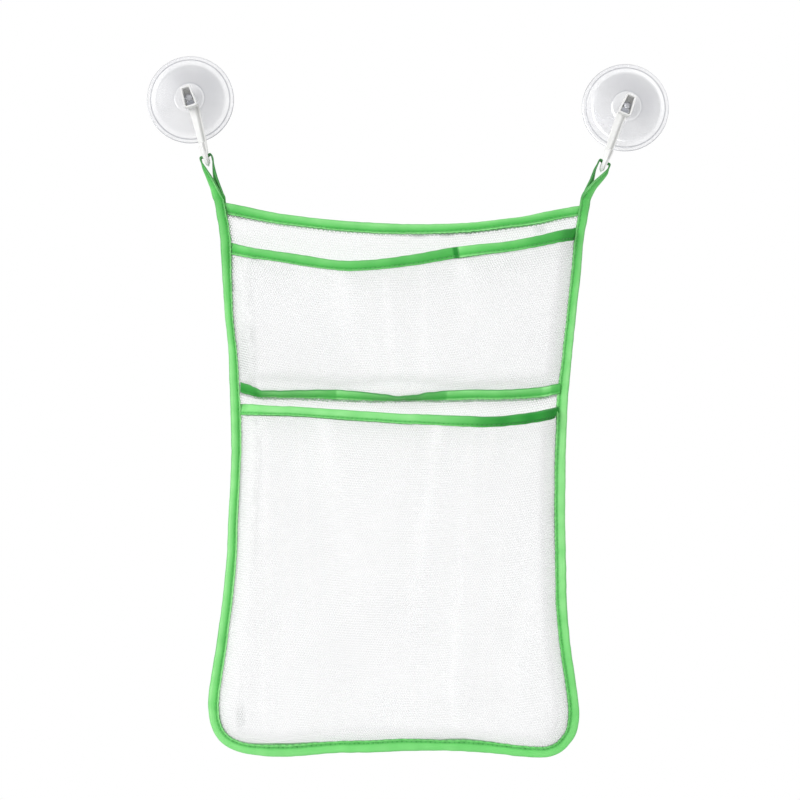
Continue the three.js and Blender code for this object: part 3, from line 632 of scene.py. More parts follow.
def lower_y(x, z):
    d = edge_distance(x, z)
    crease = ease(x, 20, -60)
    s = flank(d, 4.4, 16.0, crease)
    inner = ease(d, 8, 40)
    pleat = np.exp(-(((x - left_x(z)) - 15.4) / 1.3) ** 2) * ease(z, -335, -290) * ease(lower_z(x) - z, 5, 20)
    y = BAG_Y - LAYER - LOWER_DEPTH * s
    y -= inner * (0.7 + 0.75 * ripple_low(x, z * 0.55)) + ease(d, 6, 18) * 0.18 * ripple_low_fine(x, z)
    return y - 0.9 * pleat


def upper_y(x, z):
    dl = x - left_x(z)
    dr = right_x(z) - x
    d = np.minimum(dl, dr)
    crease = ease(x, 20, -60)
    s = flank(d, 4.4, 15.5, crease)
    # above the foot tape the net leans forward from it
    t = z - foot_z(x)
    lean = np.radians(foot_turn(x))
    rise = flank(t, 5.5, 19.0, 0.25)
    on_tape = np.clip(t, 0, 7 * np.cos(lean)) * np.tan(lean)
    y = BAG_Y - LAYER - np.maximum(rise * UPPER_DEPTH * s, np.minimum(on_tape, 0.95 * UPPER_DEPTH) * ease(d, 6, 15))
    inner = ease(d, 8, 36) * ease(t, 14, 40)
    pleat = np.exp(-((dl - 15.0) / 1.3) ** 2) * ease(t, 18, 30) * ease(upper_z(x) - z, 5, 20)
    y -= inner * (0.5 + 0.6 * ripple_up(x, z * 0.55)) + ease(d, 6, 18) * ease(t, 10, 20) * 0.16 * ripple_up_fine(x, z)
    return y - 0.9 * pleat


def panel(name, left, foot, right, top, surface, shading, nu, nv, edge_u=0.55):
    """A sheet over four boundary lines in (x, z), finer towards its sides."""
    c = np.linspace(0, 1, nu)
    c = c + edge_u * (np.sin(2 * np.pi * c)) / (2 * np.pi) * -1.0
    r = np.linspace(0, 1, nv)

    def at(line, t):
        s = lengths(line)
        return np.column_stack([np.interp(t * s[-1], s, line[:, k]) for k in (0, 1)])

    L, R, F, T = at(left, r), at(right, r), at(foot, c), at(top, c)
    C, Rr = np.meshgrid(c, r)
    C, Rr = C[..., None], Rr[..., None]
    grid = (1 - C) * L[:, None] + C * R[:, None] + (1 - Rr) * T[None] + Rr * F[None]
    grid -= (1 - C) * (1 - Rr) * T[0] + C * (1 - Rr) * T[-1] + (1 - C) * Rr * F[0] + C * Rr * F[-1]
    x, z = grid[..., 0], grid[..., 1]
    y = surface(x, z)
    pts = np.stack([x, y, z], -1)
    du = np.concatenate([np.zeros((nv, 1)), np.cumsum(np.linalg.norm(np.diff(pts, axis=1), axis=-1), 1)], 1)
    du -= du[:, nu // 2 : nu // 2 + 1]
    dv = np.concatenate([np.zeros((1, nu)), np.cumsum(np.linalg.norm(np.diff(pts, axis=0), axis=-1), 0)], 0)
    flat = np.stack([du + 1000.0, dv + 1000.0], -1).reshape(-1, 2)
    j, i = np.meshgrid(np.arange(nv - 1), np.arange(nu - 1), indexing="ij")
    faces = np.stack([j * nu + i, (j + 1) * nu + i, (j + 1) * nu + i + 1, j * nu + i + 1], -1).reshape(-1, 4)
    obj = mesh_object(name, pts.reshape(-1, 3), faces, flat[faces.ravel()], {"shade": shading(x, z)}, NET)
    return obj


def cut(line, a, b):
    """The part of a line between two lengths along it."""
    s = lengths(line)
    inside = line[(s > a) & (s < b)]
    ends = [[np.interp(v, s, line[:, k]) for k in (0, 1)] for v in (a, b)]
    return np.vstack([ends[:1], inside, ends[1:]])


outline = smooth_line(SIDE_LEFT + BOTTOM + SIDE_RIGHT, 1.0)
outline_s = lengths(outline)


def nearest_s(x, z):
    return outline_s[np.argmin((outline[:, 0] - x) ** 2 + (outline[:, 1] - z) ** 2)]


S_BL = nearest_s(-124.0, -428.5)
S_BR = nearest_s(104.0, -432.5)


def side_start(line_z, left):
    z = -75.0
    for _ in range(12):
        z = float(line_z(left_x(z) if left else right_x(z)))
    return nearest_s(left_x(z) if left else right_x(z), z)


def body_panel(name, line_z, surface, shading, nu, nv):
    s0, s1 = side_start(line_z, True), side_start(line_z, False)
    left = cut(outline, s0, S_BL)
    foot = cut(outline, S_BL, S_BR)
    right = cut(outline, S_BR, s1)[::-1]
    xs = np.linspace(left[0, 0], right[0, 0], 200)
    top = np.column_stack([xs, line_z(xs)])
    top[0], top[-1] = left[0], right[0]
    return panel(name, left, foot, right, top, surface, shading, nu, nv)


def spot(x, z, cx, cz, rx, rz):
    return np.exp(-((((x - cx) / rx) ** 2 + ((z - cz) / rz) ** 2) ** 2))


def bunched_and_shaded(d, at, wide, x, z, wave):
    """A line of gathered net at a distance from an edge, uneven along it, where painted shade greys the crease."""
    return np.exp(-((d - at - 0.8 * wave(z, 3.0)) / wide) ** 2) * np.clip(0.62 + 0.5 * wave(z * 1.3, 40.0), 0, 1)


crease_wave = Wave(41, 30)


# painted shade on the nets, kept in their shade attribute: in dashes under the top tape, along gathered lines beside
# the sides, near the sides and edges, at a few spots, and on the fringe below the foot tape; the same values also close
# the net's cells
def back_shade(x, z):
    dt = top_z(x) - z
    under = np.exp(-(((dt - 4.6) / 0.9) ** 2)) * (0.6 + 0.5 * np.sin(2 * np.pi * x / 4.1))
    k = 0.8 * np.clip(under, 0, 1) * np.maximum(ease(x, -104, -116), np.exp(-(((x - 22) / 24) ** 4)))
    k += 0.05 * ease(x, -100, -118) * ease(dt, 34, 24)
    k += 0.35 * spot(x, z, 89, -86.5, 4, 3)
    return np.clip(k, 0, 1)


def lower_shade(x, z):
    dl, dr = x - left_x(z), right_x(z) - x
    d = edge_distance(x, z)
    mouth = ease(lower_z(x) - z, 2, 8)
    k = 0.28 * bunched_and_shaded(dl, 14.5, 1.5, x, z, crease_wave) * ease(z, -345, -290)
    k += 0.10 * ease(d, 10, 5) * (0.6 + 0.4 * crease_wave(z, 9.0))
    k += 0.30 * spot(x, z, -112, -413, 3.4, 9) + 0.08 * spot(x, z, 96, -420, 6, 12)
    k += 0.05 * ease(dr, 34, 8) + 0.05 * ease(dl, 30, 12) * ease(z, -380, -415)
    return np.clip(k, 0, 1) * mouth


def upper_shade(x, z):
    dl, dr = x - left_x(z), right_x(z) - x
    t = z - foot_z(x)
    mouth = ease(upper_z(x) - z, 2, 8)
    k = 0.30 * bunched_and_shaded(dl, 14.0, 1.5, x, z, crease_wave)
    k += 0.17 * ease(dl, 13, 6) * (0.65 + 0.35 * crease_wave(z, 9.0)) + 0.09 * ease(dr, 12, 5)
    k += 0.22 * spot(x, z, -108, -172, 6, 26)
    k += 0.045 * ease(dr, 36, 10)
    k += ease(t, 2.5, 0.5) * (0.42 + 0.25 * np.sin(2 * np.pi * x / 2.6))
    return np.clip(k, 0, 1) * mouth


back_panel = body_panel("back_net", top_z, back_y, back_shade, 110, 165)
lower_panel = body_panel("lower_pocket_net", lower_z, lower_y, lower_shade, 150, 115)


def upper_panel_mesh():
    s0, s1 = side_start(upper_z, True), side_start(upper_z, False)
    foot_line = lambda x: foot_z(x) - 1.6
    f0, f1 = side_start(foot_line, True), side_start(foot_line, False)
    left, right = cut(outline, s0, f0), cut(outline, f1, s1)[::-1]
    xs = np.linspace(left[0, 0], right[0, 0], 200)
    top = np.column_stack([xs, upper_z(xs)])
    top[0], top[-1] = left[0], right[0]
    xs = np.linspace(left[-1, 0], right[-1, 0], 200)
    foot = np.column_stack([xs, foot_line(xs)])
    foot[0], foot[-1] = left[-1], right[-1]
    return panel("upper_pocket_net", left, foot, right, top, upper_y, upper_shade, 150, 64)


upper_panel = upper_panel_mesh()

for obj, node in ((back_panel, "back_panel"), (lower_panel, "lower_pocket_panel"), (upper_panel, "upper_pocket_panel")):
    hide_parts(node)
    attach(obj, "bag")

# ---------------------------------------------------------------- tape

# across the folded tape, from the free edge to the fold: place, and how the thickness
# there depends on the half thickness, the puff, the stitched groove and the lip
ACROSS = [
    (3.50, 0.74, 0.0, 0.0, 0.3),
    (3.36, 0.96, 0.0, 0.0, 0.8),
    (3.00, 1.00, 0.0, 0.0, 1.0),
    (2.60, 1.00, 0.0, 0.35, 0.6),
    (2.25, 1.00, 0.0, 0.85, 0.1),
    (1.90, 1.00, 0.0, 1.0, 0.0),
    (1.50, 1.00, 0.10, 0.75, 0.0),
    (0.95, 1.00, 0.50, 0.2, 0.0),
    (0.20, 1.00, 0.85, 0.0, 0.0),
    (-0.80, 1.00, 1.00, 0.0, 0.0),
    (-1.70, 1.00, 0.98, 0.0, 0.0),
    (-2.40, 1.00, 0.80, 0.0, 0.0),
    (-2.90, 0.92, 0.50, 0.0, 0.0),
    (-3.22, 0.74, 0.22, 0.0, 0.0),
    (-3.42, 0.44, 0.06, 0.0, 0.0),
    (-3.50, 0.0, 0.0, 0.0, 0.0),
]
STITCH_A = 1.9


# across the tape, row by row as in ACROSS: painted light for a rounded and for a flat tape, greying of both edges
# (painted shade with some wear), and painted shade in the stitched groove
PAINTED_LIGHT_ROUND = [0.40, 0.66, 0.90, 0.80, 0.36, 0.08, 0.02, 0.05, 0.17, 0.36, 0.56, 0.68, 0.64, 0.40, 0.15, 0.05]
PAINTED_LIGHT_FLAT = [0.30, 0.50, 0.70, 0.46, 0.10, 0.02, 0.28, 0.68, 0.80, 0.82, 0.80, 0.74, 0.60, 0.36, 0.15, 0.05]
EDGE_WEAR_AND_SHADE = [1.0, 0.55, 0.05, 0, 0, 0, 0, 0, 0, 0, 0, 0, 0.08, 0.35, 0.85, 1.0]
GROOVE_SHADE_ACROSS = [0, 0, 0, 0.15, 0.75, 1.0, 0.55, 0.08, 0, 0, 0, 0, 0, 0, 0, 0]


def tape_sections(n, half, puff, groove, lip, free=3.5, fold=3.5, back=0.7, hollow=True, thick=0.42, closed_gap=0.12):
    """Sections of a folded tape, round its outside and back through the fold. Values may change along it."""
    one = np.ones(n)
    half, puff, groove, lip, free, fold = (np.asarray(v, float) * one for v in (half, puff, groove, lip, free, fold))
    k = np.array(ACROSS)
    a = k[:, 0][None] / 3.5 * np.where(k[:, 0] > 0, free[:, None], fold[:, None])

    def height(scale):
        return k[:, 1] * half[:, None] + scale * (k[:, 2] * puff[:, None] + k[:, 4] * lip[:, None]) - k[:, 3] * groove[:, None]

    front = np.stack([a, -height(1.0)], -1)
    rear = np.stack([a, height(back)], -1)[:, -2::-1]
    parts = [front, rear]
    marks = {"edge": EDGE_WEAR_AND_SHADE + EDGE_WEAR_AND_SHADE[-2::-1], "groove": GROOVE_SHADE_ACROSS + GROOVE_SHADE_ACROSS[-2::-1], "fade": PAINTED_LIGHT_ROUND + PAINTED_LIGHT_ROUND[-2::-1], "flat": PAINTED_LIGHT_FLAT + PAINTED_LIGHT_FLAT[-2::-1]}
    if hollow:
        pick = [0, 3, 5, 8, 11]
        inner_front = front[:, pick].copy()
        inner_front[..., 1] = np.minimum(inner_front[..., 1] + thick, -0.05)
        inner_rear = rear[:, [len(ACROSS) - 2 - q for q in pick]].copy()
        inner_rear[..., 1] = np.maximum(inner_rear[..., 1] - thick, 0.05)
        tip = np.stack([a[:, -1] + thick, np.zeros(n)], -1)[:, None]
        parts += [inner_rear, tip, inner_front[:, ::-1]]
        marks["edge"] += [0.6, 0, 0, 0, 0, 0, 0, 0, 0, 0, 0.6]
        marks["groove"] += [0] * 11
        marks["fade"] += [0.3, 0, 0, 0, 0, 0, 0, 0, 0, 0, 0.3]
        marks["flat"] += [0.3, 0, 0, 0, 0, 0, 0, 0, 0, 0, 0.3]
    else:
        notch = np.stack([a[:, 0] - closed_gap * 3, np.zeros(n)], -1)[:, None]
        parts += [notch]
        marks["edge"] += [0.4]
        marks["groove"] += [0.3]
        marks["fade"] += [0.2]
        marks["flat"] += [0.2]
    return np.concatenate(parts, 1), {key: np.tile(np.array(v, float), (n, 1)) for key, v in marks.items()}


def rolled(sections, degrees):
    """Sections turned about the path, positive when the front looks down the free-edge side."""
    r = np.radians(np.asarray(degrees, float))[:, None]
    a, b = sections[..., 0], sections[..., 1]
    return np.stack([a * np.cos(r) - b * np.sin(r), a * np.sin(r) + b * np.cos(r)], -1)


PITCH, LENGTH = 3.2, 2.6


def stitch_row(P, A, B, a, height, seed, pitch=PITCH, length=LENGTH, radius=0.27, start=1.0, end=1.0, side=-1, dark=0.0):
    """Sewn thread along a tape: short stitches that dive into the cloth at each end."""
    r = random.Random(seed)
    s = lengths(P)
    total = s[-1]
    a = np.asarray(a, float) * np.ones(len(s))
    height = np.asarray(height, float) * np.ones(len(s))
    dark = np.asarray(dark, float) * np.ones(len(s))
    place = start
    verts, faces, uv, tone = [], [], [], []
    sides, rings = 6, 7
    while place + length < total - end:
        size = length * r.uniform(0.95, 1.04)
        shift = r.uniform(-0.08, 0.08)
        tilt = r.uniform(-0.10, 0.10)
        q = np.linspace(0, 1, rings)
        at = place + q * size
        p = np.column_stack([np.interp(at, s, P[:, k]) for k in range(3)])
        fa = unit(np.column_stack([np.interp(at, s, A[:, k]) for k in range(3)]))
        fb = unit(np.column_stack([np.interp(at, s, B[:, k]) for k in range(3)]))
        lift = -0.34 + 0.50 * np.sin(np.pi * q) ** 0.7
        across = np.interp(at, s, a) + shift + tilt * (q - 0.5)
        deep = np.interp(at, s, height) + lift
        c = p + across[:, None] * fa + side * deep[:, None] * fb
        rad = radius * (0.72 + 0.28 * np.sin(np.pi * q))
        base = len(verts)
        for i in range(rings):
            for k in range(sides):
                t = 2 * math.pi * k / sides
                verts.append(c[i] + rad[i] * (math.cos(t) * fa[i] + math.sin(t) * fb[i]))
        tone += [float(np.interp(place, s, dark))] * (rings * sides)
        for i in range(rings - 1):
            for k in range(sides):
                l = (k + 1) % sides
                faces.append([base + i * sides + k, base + i * sides + l, base + (i + 1) * sides + l, base + (i + 1) * sides + k])
                v0, v1 = k / sides * 1.7, (k + 1) / sides * 1.7
                uv += [[at[i], v0], [at[i], v1], [at[i + 1], v1], [at[i + 1], v0]]
        for i, order in ((0, range(sides - 1, -1, -1)), (rings - 1, range(sides))):
            faces.append([base + i * sides + k for k in order])
            uv += [[at[i], k / sides * 1.7] for k in order]
        place += pitch
    return verts, faces, uv, tone


def join_rows(name, rows):
    verts, faces, uv, tone = [], [], [], []
    for v, f, t, d in rows:
        base = len(verts)
        verts += v
        faces += [[base + i for i in q] for q in f]
        uv += t
        tone += d
    obj = mesh_object(name, verts, faces, np.array(uv), attributes={"dark": tone}, material=THREAD, outward=True)
    return obj


def pucker(s, pitch=PITCH, start=1.0, length=LENGTH):
    """1 where the needle goes through, 0 in the middle of a stitch."""
    phase = (s - start + 0.5 * (pitch - length)) / pitch
    return 0.5 + 0.5 * np.cos(2 * np.pi * phase)


tape_ends = {}


def bound_tape(name, P, A, B, half, puff=0.55, groove=0.34, lip=0.18, roll=0.0, seed=1, free=3.5, fold=3.5, hollow=True, extra=None, node=None, stitch_node=None, taper=0.0, back=0.7, sunk=0.4, pale=0.8, plateau=0.0, deep=0.0, dashed=0.5, crest=0.0, tacks=(), front_row=True, overcast=None):
    """A folded binding along a path, with its sewing."""
    n = len(P)
    s = lengths(P)
    w1, w2, w3, w4, w5 = Wave(seed, 38), Wave(seed + 1, 13), Wave(seed + 2, 60), Wave(seed + 3, 9), Wave(seed + 4, 22)
    one = np.ones(n)
    half, free, fold, sunk, pale, plateau, deep, dashed = (np.asarray(v, float) * one for v in (half, free, fold, sunk, pale, plateau, deep, dashed))
    if taper:
        k = 1 - (1 - taper) * (1 - ease(np.minimum(s, s[-1] - s), 1.5, 9.0))
        half = half * k
        puff = puff * k
        groove = groove * k
    pf = puff * (1 + 0.30 * w1(s) + 0.14 * w2(s))
    gr = groove * (0.72 + 0.5 * pucker(s) + 0.15 * w4(s))
    lp = lip * (1 + 0.7 * w4(s) + 0.5 * (0.5 - pucker(s)))
    free = free * (1 + 0.02 * w2(s) + 0.012 * w4(s + 50))
    sections, marks = tape_sections(n, half, pf, gr, lp, free, fold * (1 + 0.015 * w2(s + 90)), hollow=hollow, back=back)
    if extra is not None:
        sections = extra(s, sections, marks)
    # painted shade in the stitched groove, darker at the needle holes, and a broken dark line along the free edge
    hole = pucker(s) ** 6 * np.clip(0.55 + 0.6 * w5(s * 1.7), 0.1, 1.0)
    marks["groove"] *= (sunk * (0.55 + 0.2 * w4(s + 30)) + 0.50 * hole)[:, None]
    # painted light across the tape, blended between the round and flat rows and scaled along it, and painted shade
    # along it, from deep
    flat = marks.pop("flat")
    marks["fade"] = marks["fade"] * (1 - plateau)[:, None] + flat * plateau[:, None]
    marks["fade"] *= (pale * (1 + 0.16 * w5(s) + 0.08 * w2(s)) * (1 - 0.6 * deep))[:, None]
    marks["deep"] = np.tile(np.clip(deep * (1 + 0.15 * w5(s + 200)), 0, 1)[:, None], (1, marks["fade"].shape[1]))
    dash = ease(np.sin(2 * np.pi * s / 4.3 + 1.4 * w2(s)), -0.2, 0.5)
    broken = np.clip(1 - dashed * (1 - dash), 0, 1)
    marks["edge"][:, :3] *= broken[:, None]
    # painted shade along the fold's crest, and dark dashes along the free edge
    marks["deep"][:, 13:18] = np.maximum(marks["deep"][:, 13:18], crest)
    marks["deep"][:, :3] = np.maximum(marks["deep"][:, :3], (dashed * dash)[:, None] * (0.95, 0.85, 0.30))
    turn = np.asarray(roll, float) * one + 2.2 * w3(s)
    sections = rolled(sections, turn)
    wobble = 0.14 * w1(s + 400) + 0.06 * w4(s)
    sections[..., 0] += wobble[:, None]
    tape_ends[name] = [(sections[i], {key: value[i] for key, value in marks.items()}) for i in (0, -1)]
    obj = sweep(name, P, A, B, sections, s, marks, GREEN)
    if node:
        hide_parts(node)
    r = np.radians(turn)
    rows = []
    row = STITCH_A * free / 3.5
    for side in (-1, 1) if front_row else (1,):
        h = half - gr * 0.85
        a = row * np.cos(r) - side * h * np.sin(r) + wobble
        b = side * (row * np.sin(r) + side * h * np.cos(r))
        # the stitches take on the tape's painted shade
        rows.append(stitch_row(P, A, B, a, b, seed * 7 + side, side=side, dark=np.clip(0.1 + 0.9 * deep, 0, 0.9)))
    if overcast:
        rows.append(overcast_row(P, A, B, sections, s, *overcast))
    for at, reach in tacks:
        rows.append(bar_tack(P, A, B, sections, s, at, reach, seed))
    sewing = join_rows(name.replace("_tape", "_sewing"), rows)
    if stitch_node:
        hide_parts(stitch_node)
    return obj, sewing


def overcast_row(P, A, B, sections, s, first, last, reach, pitch, seed, lift, dark):
    """A zigzag of thread over a free edge, from just inside it to just beyond."""
    r = random.Random(seed)
    pts = []
    dark = np.asarray(dark, float) * np.ones(len(s))
    place, out = first, False
    while place < min(last, s[-1] - 2.0):
        i = int(np.argmin(np.abs(s - place)))
        e = sections[i, 1] + (0.0, -0.12)
        if out:
            e = sections[i, 0] + (reach * r.uniform(0.75, 1.15), -lift)
        pts.append(P[i] + e[0] * A[i] + e[1] * B[i])
        out = not out
        place += 0.5 * pitch * r.uniform(0.92, 1.08)
    line, along = spaced(catmull(pts, 5)[0], 0.35, extra=np.linspace(first, place, len(catmull(pts, 5)[0])))
    T = tangents(line)
    N = np.tile([0.0, -1.0, 0.0], (len(line), 1))
    N = unit(N - (N * T).sum(1, keepdims=True) * T)
    S = np.cross(T, N)
    u = lengths(line)
    verts, faces, uv = [], [], []
    sides, rad = 5, 0.2
    for i in range(len(line)):
        for k in range(sides):
            a = 2 * math.pi * k / sides
            verts.append(line[i] + rad * (math.cos(a) * S[i] + math.sin(a) * N[i]))
    for i in range(len(line) - 1):
        for k in range(sides):
            l = (k + 1) % sides
            faces.append([i * sides + k, i * sides + l, (i + 1) * sides + l, (i + 1) * sides + k])
            v0, v1 = k / sides * 1.3, (k + 1) / sides * 1.3
            uv += [[u[i], v0], [u[i], v1], [u[i + 1], v1], [u[i + 1], v0]]
    for i, order in ((0, range(sides - 1, -1, -1)), (len(line) - 1, range(sides))):
        faces.append([i * sides + k for k in order])
        uv += [[u[i], k / sides] for k in order]
    return verts, faces, uv, list(np.repeat(np.interp(along, s, dark), sides))


def bar_tack(P, A, B, sections, s, at, reach, seed):
    """A short row of stitches across the front of a tape, where its ends overlap."""
    i = int(np.argmin(np.abs(s - at)))
    front = sections[i, : len(ACROSS)]
    keep = np.abs(front[:, 0]) < reach
    pts = P[i] + front[keep, 0:1] * A[i] + front[keep, 1:2] * B[i]
    pts = spaced(pts, 0.25)
    T = tangents(P)[i]
    return stitch_row(pts, np.tile(T, (len(pts), 1)), np.tile(B[i], (len(pts), 1)), 0.0, 0.08, seed + 900, pitch=1.5, length=1.25, radius=0.24, start=0.1, end=0.05, dark=0.6)


def cross_frames(P):
    """Across points down the net, back points to the wall."""
    T = tangents(P)
    A = np.tile([0.0, 0.0, -1.0], (len(P), 1))
    A = unit(A - (A * T).sum(1, keepdims=True) * T)
    B = np.cross(A, T)
    B *= np.sign(B[:, 1:2])
    return A, unit(B)


def plane_frames(P):
    T = tangents(P)
    A = np.column_stack([-T[:, 2], np.zeros(len(P)), T[:, 0]])
    B = np.tile([0.0, 1.0, 0.0], (len(P), 1))
    return unit(A), B


STEP = 0.7
pieces = {}

# round the sides and the bottom, a little past the CAD's ends so that the loops carry on from it
rim = smooth_line([[-126.6, -66.8]] + SIDE_LEFT + BOTTOM + SIDE_RIGHT + [[119.85, -66.9]], STEP)
P = np.column_stack([rim[:, 0], np.full(len(rim), BAG_Y), rim[:, 1]])
A, B = plane_frames(P)
rim_s = lengths(P)
s_bl, s_br = rim_s[np.argmin(np.hypot(rim[:, 0] + 124, rim[:, 1] + 428))], rim_s[np.argmin(np.hypot(rim[:, 0] - 104, rim[:, 1] + 432))]
corner = np.exp(-((rim_s - s_bl) / 16) ** 2) + np.exp(-((rim_s - s_br) / 13) ** 2)
gather = Wave(77, 4.2, 4)


def gathered(s, sections, marks):
    """The tape's inner edge bunches where it turns a corner."""
    k = np.interp(s, rim_s, corner) * gather(s)
    inner = np.clip((sections[..., 0] - 0.4) / 3.0, 0, 1)
    sections[..., 1] += np.sign(sections[..., 1]) * inner * (0.30 * k)[:, None]
    return sections


rim_roll = soft_table([(0, 0), (30, 8), (80, -4), (150, 6), (230, 2), (300, 8), (372, -6), (410, -12), (440, 6), (480, 10), (520, -8), (560, 8), (590, -4), (620, -2), (680, 8), (760, -4), (840, 6), (900, 8), (966, 0)])
rim_free = soft_table([(0, 2.8), (30, 3.2), (60, 2.6), (91, 1.9), (121, 2.4), (151, 3.1), (181, 2.7), (211, 3.2), (257, 3.4), (302, 3.3), (362, 3.5), (377, 3.8), (405, 4.9), (423, 4.8), (438, 4.3), (483, 4.2), (513, 3.7), (530, 4.6), (558, 4.1), (604, 3.4), (619, 4.1), (664, 4.3), (709, 3.6), (770, 3.7), (800, 4.2), (830, 4.7), (860, 3.6), (891, 3.2), (921, 3.8), (966, 3.7)])
rim_fold = soft_table([(0, 4.0), (30, 3.9), (60, 3.5), (91, 3.6), (121, 4.1), (166, 3.9), (211, 3.4), (272, 3.5), (332, 4.1), (362, 3.5), (377, 3.4), (405, 4.2), (438, 3.6), (483, 4.1), (528, 3.8), (558, 3.2), (604, 3.9), (634, 3.1), (664, 3.0), (709, 3.8), (770, 3.8), (815, 2.9), (860, 3.0), (891, 3.1), (936, 2.6), (966, 3.2)])
# along the rim, by length: painted shade in the groove, painted light, and painted shade
rim_groove_shade = soft_table([(0, 0.4), (120, 0.25), (260, 0.3), (350, 0.7), (372, 1.0), (590, 1.0), (625, 0.6), (700, 0.35), (850, 0.45), (966, 0.4)])
rim_painted_light = soft_table([(0, 0.85), (60, 1.15), (200, 1.5), (330, 1.3), (380, 0.85), (460, 0.58), (560, 0.5), (640, 0.68), (720, 0.98), (800, 1.12), (870, 1.2), (966, 0.85)])
rim_flat = soft_table([(0, 0), (330, 0.05), (375, 0.7), (600, 0.75), (650, 0.8), (720, 1), (810, 0.95), (860, 0.4), (900, 0.1), (966, 0.1)])
rim_shade = soft_table([(0, 0.34), (14, 0.16), (50, 0.10), (90, 0.0), (880, 0.0), (940, 0.12), (966, 0.30)])
rim_dash = soft_table([(0, 0.9), (120, 0.8), (200, 0.4), (360, 0.4), (420, 0.7), (580, 0.7), (640, 0.5), (800, 0.7), (966, 0.8)])
pieces["rim"], pieces["rim_sewing"] = bound_tape("rim_tape", P, A, B, 1.62, puff=0.42, groove=0.40, lip=0.20, plateau=rim_flat(rim_s), deep=rim_shade(rim_s), dashed=rim_dash(rim_s), roll=rim_roll(rim_s), overcast=(5.0, 64.0, 0.7, 3.0, 109, 0.5, 0.85), seed=101, free=rim_free(rim_s), fold=rim_fold(rim_s), sunk=rim_groove_shade(rim_s), pale=rim_painted_light(rim_s), extra=gathered, node="perimeter_binding", stitch_node="perimeter_stitching")

# along the top of the back
x0, x1 = left_x(-73.0) + 1.4, right_x(-74.0) - 1.4
xs = np.linspace(x0, x1, 400)
line = spaced(np.column_stack([xs, np.full(400, BAG_Y + LAYER), top_z(xs)]), STEP)
A, B = cross_frames(line)
top_free = soft_table([(-122, 3.6), (-86, 3.2), (-62, 2.7), (-37, 2.7), (-13, 3.0), (12, 3.3), (48, 3.9), (85, 4.0), (109, 2.9)])
top_fold = soft_table([(-122, 4.2), (-86, 4.0), (-50, 4.4), (-25, 4.3), (12, 3.5), (48, 2.8), (73, 2.6), (97, 3.5), (115, 3.9)])
# painted light and painted shade along the top tape, by x
pieces["top"], pieces["top_sewing"] = bound_tape("top_tape", line, A, B, 1.15, puff=0.34, groove=0.32, lip=0.18, pale=soft_table([(-122, 0.85), (-50, 1.1), (0, 1.2), (60, 0.98), (115, 0.9)])(line[:, 0]), deep=soft_table([(-122, 0.14), (-100, 0.04), (40, 0.03), (115, 0.12)])(line[:, 0]), dashed=soft_table([(-122, 1), (-90, 0.7), (-30, 0.5), (10, 0.9), (60, 0.9), (115, 0.6)])(line[:, 0]), overcast=(3.0, 400.0, 1.0, 2.9, 139, 0.4, soft_table([(-122, 1), (-100, 0.9), (-90, 0.4), (-40, 0.4), (-12, 0.8), (15, 0.9), (60, 0.9), (75, 0.4), (115, 0.3)])(line[:, 0])), seed=131, free=top_free(line[:, 0]), fold=top_fold(line[:, 0]), roll=soft_table([(-120, 2), (-60, -4), (0, 2), (50, -6), (115, -2)])(line[:, 0]), taper=0.62, node="top_binding", stitch_node="top_stitching")


def mouth_path(line_z, surface, inset):
    z = -100.0
    zl = zr = float(line_z(0.0))
    for _ in range(12):
        zl = float(line_z(left_x(zl)))
        zr = float(line_z(right_x(zr)))
    xs = np.linspace(left_x(zl) + inset, right_x(zr) - inset, 500)
    zs = line_z(xs)
    ys = surface(xs, zs)
    return spaced(np.column_stack([xs, ys, zs]), STEP)


def lapped(at, width, rise):
    """One end of the tape lies over the other: a step in the front face."""

    def change(s, sections, marks):
        up = ease(s, at - 0.35, at + 0.35) * (1 - ease(s, at + width, at + width + 7))
        front = np.clip(-sections[..., 1] / 0.8, 0, 1)
        sections[..., 1] -= front * (rise * up)[:, None]
        return sections

    return change


line = mouth_path(upper_z, upper_y, 2.6)
A, B = cross_frames(line)
lap = lengths(line)[np.argmin(np.abs(line[:, 0] - 33.0))]
upper_free = soft_table([(-119, 3.8), (-107, 3.8), (-83, 2.6), (-58, 2.6), (-34, 3.1), (3, 3.3), (27, 3.5), (39, 4.0), (64, 3.7), (112, 3.7)])
upper_fold = soft_table([(-119, 3.8), (-107, 3.4), (-70, 4.5), (-46, 3.8), (-21, 3.7), (15, 4.1), (27, 4.2), (39, 3.8), (64, 3.3), (88, 3.6), (112, 4.5)])
# painted light and painted shade along the upper mouth tape, with a painted shadow and a painted highlight where its
# lapped end steps over
pieces["upper"], pieces["upper_sewing"] = bound_tape("upper_mouth_tape", line, A, B, 1.3, puff=0.34, groove=0.32, lip=0.18, pale=soft_table([(-119, 0.85), (-60, 0.85), (0, 0.55), (31, 0.4), (33.6, 0.4), (34.2, 1.1), (38, 0.9), (60, 0.75), (112, 0.35)])(line[:, 0]), deep=soft_table([(-119, 0.24), (-100, 0.16), (-60, 0.13), (-30, 0.22), (0, 0.30), (30, 0.36), (30.6, 0.95), (33.5, 0.95), (33.9, 0.0), (40, 0.06), (70, 0.2), (90, 0.42), (112, 0.78)])(line[:, 0]), dashed=0.55, seed=161, free=upper_free(line[:, 0]), fold=upper_fold(line[:, 0]), tacks=[(lap + 0.6, 3.4)], roll=soft_table([(-118, 0), (-60, 6), (20, 8), (36, -8), (70, 2), (110, 14)])(line[:, 0]), taper=0.42, extra=lapped(lap, 5, 0.45), node="upper_pocket_binding", stitch_node="upper_pocket_stitching")

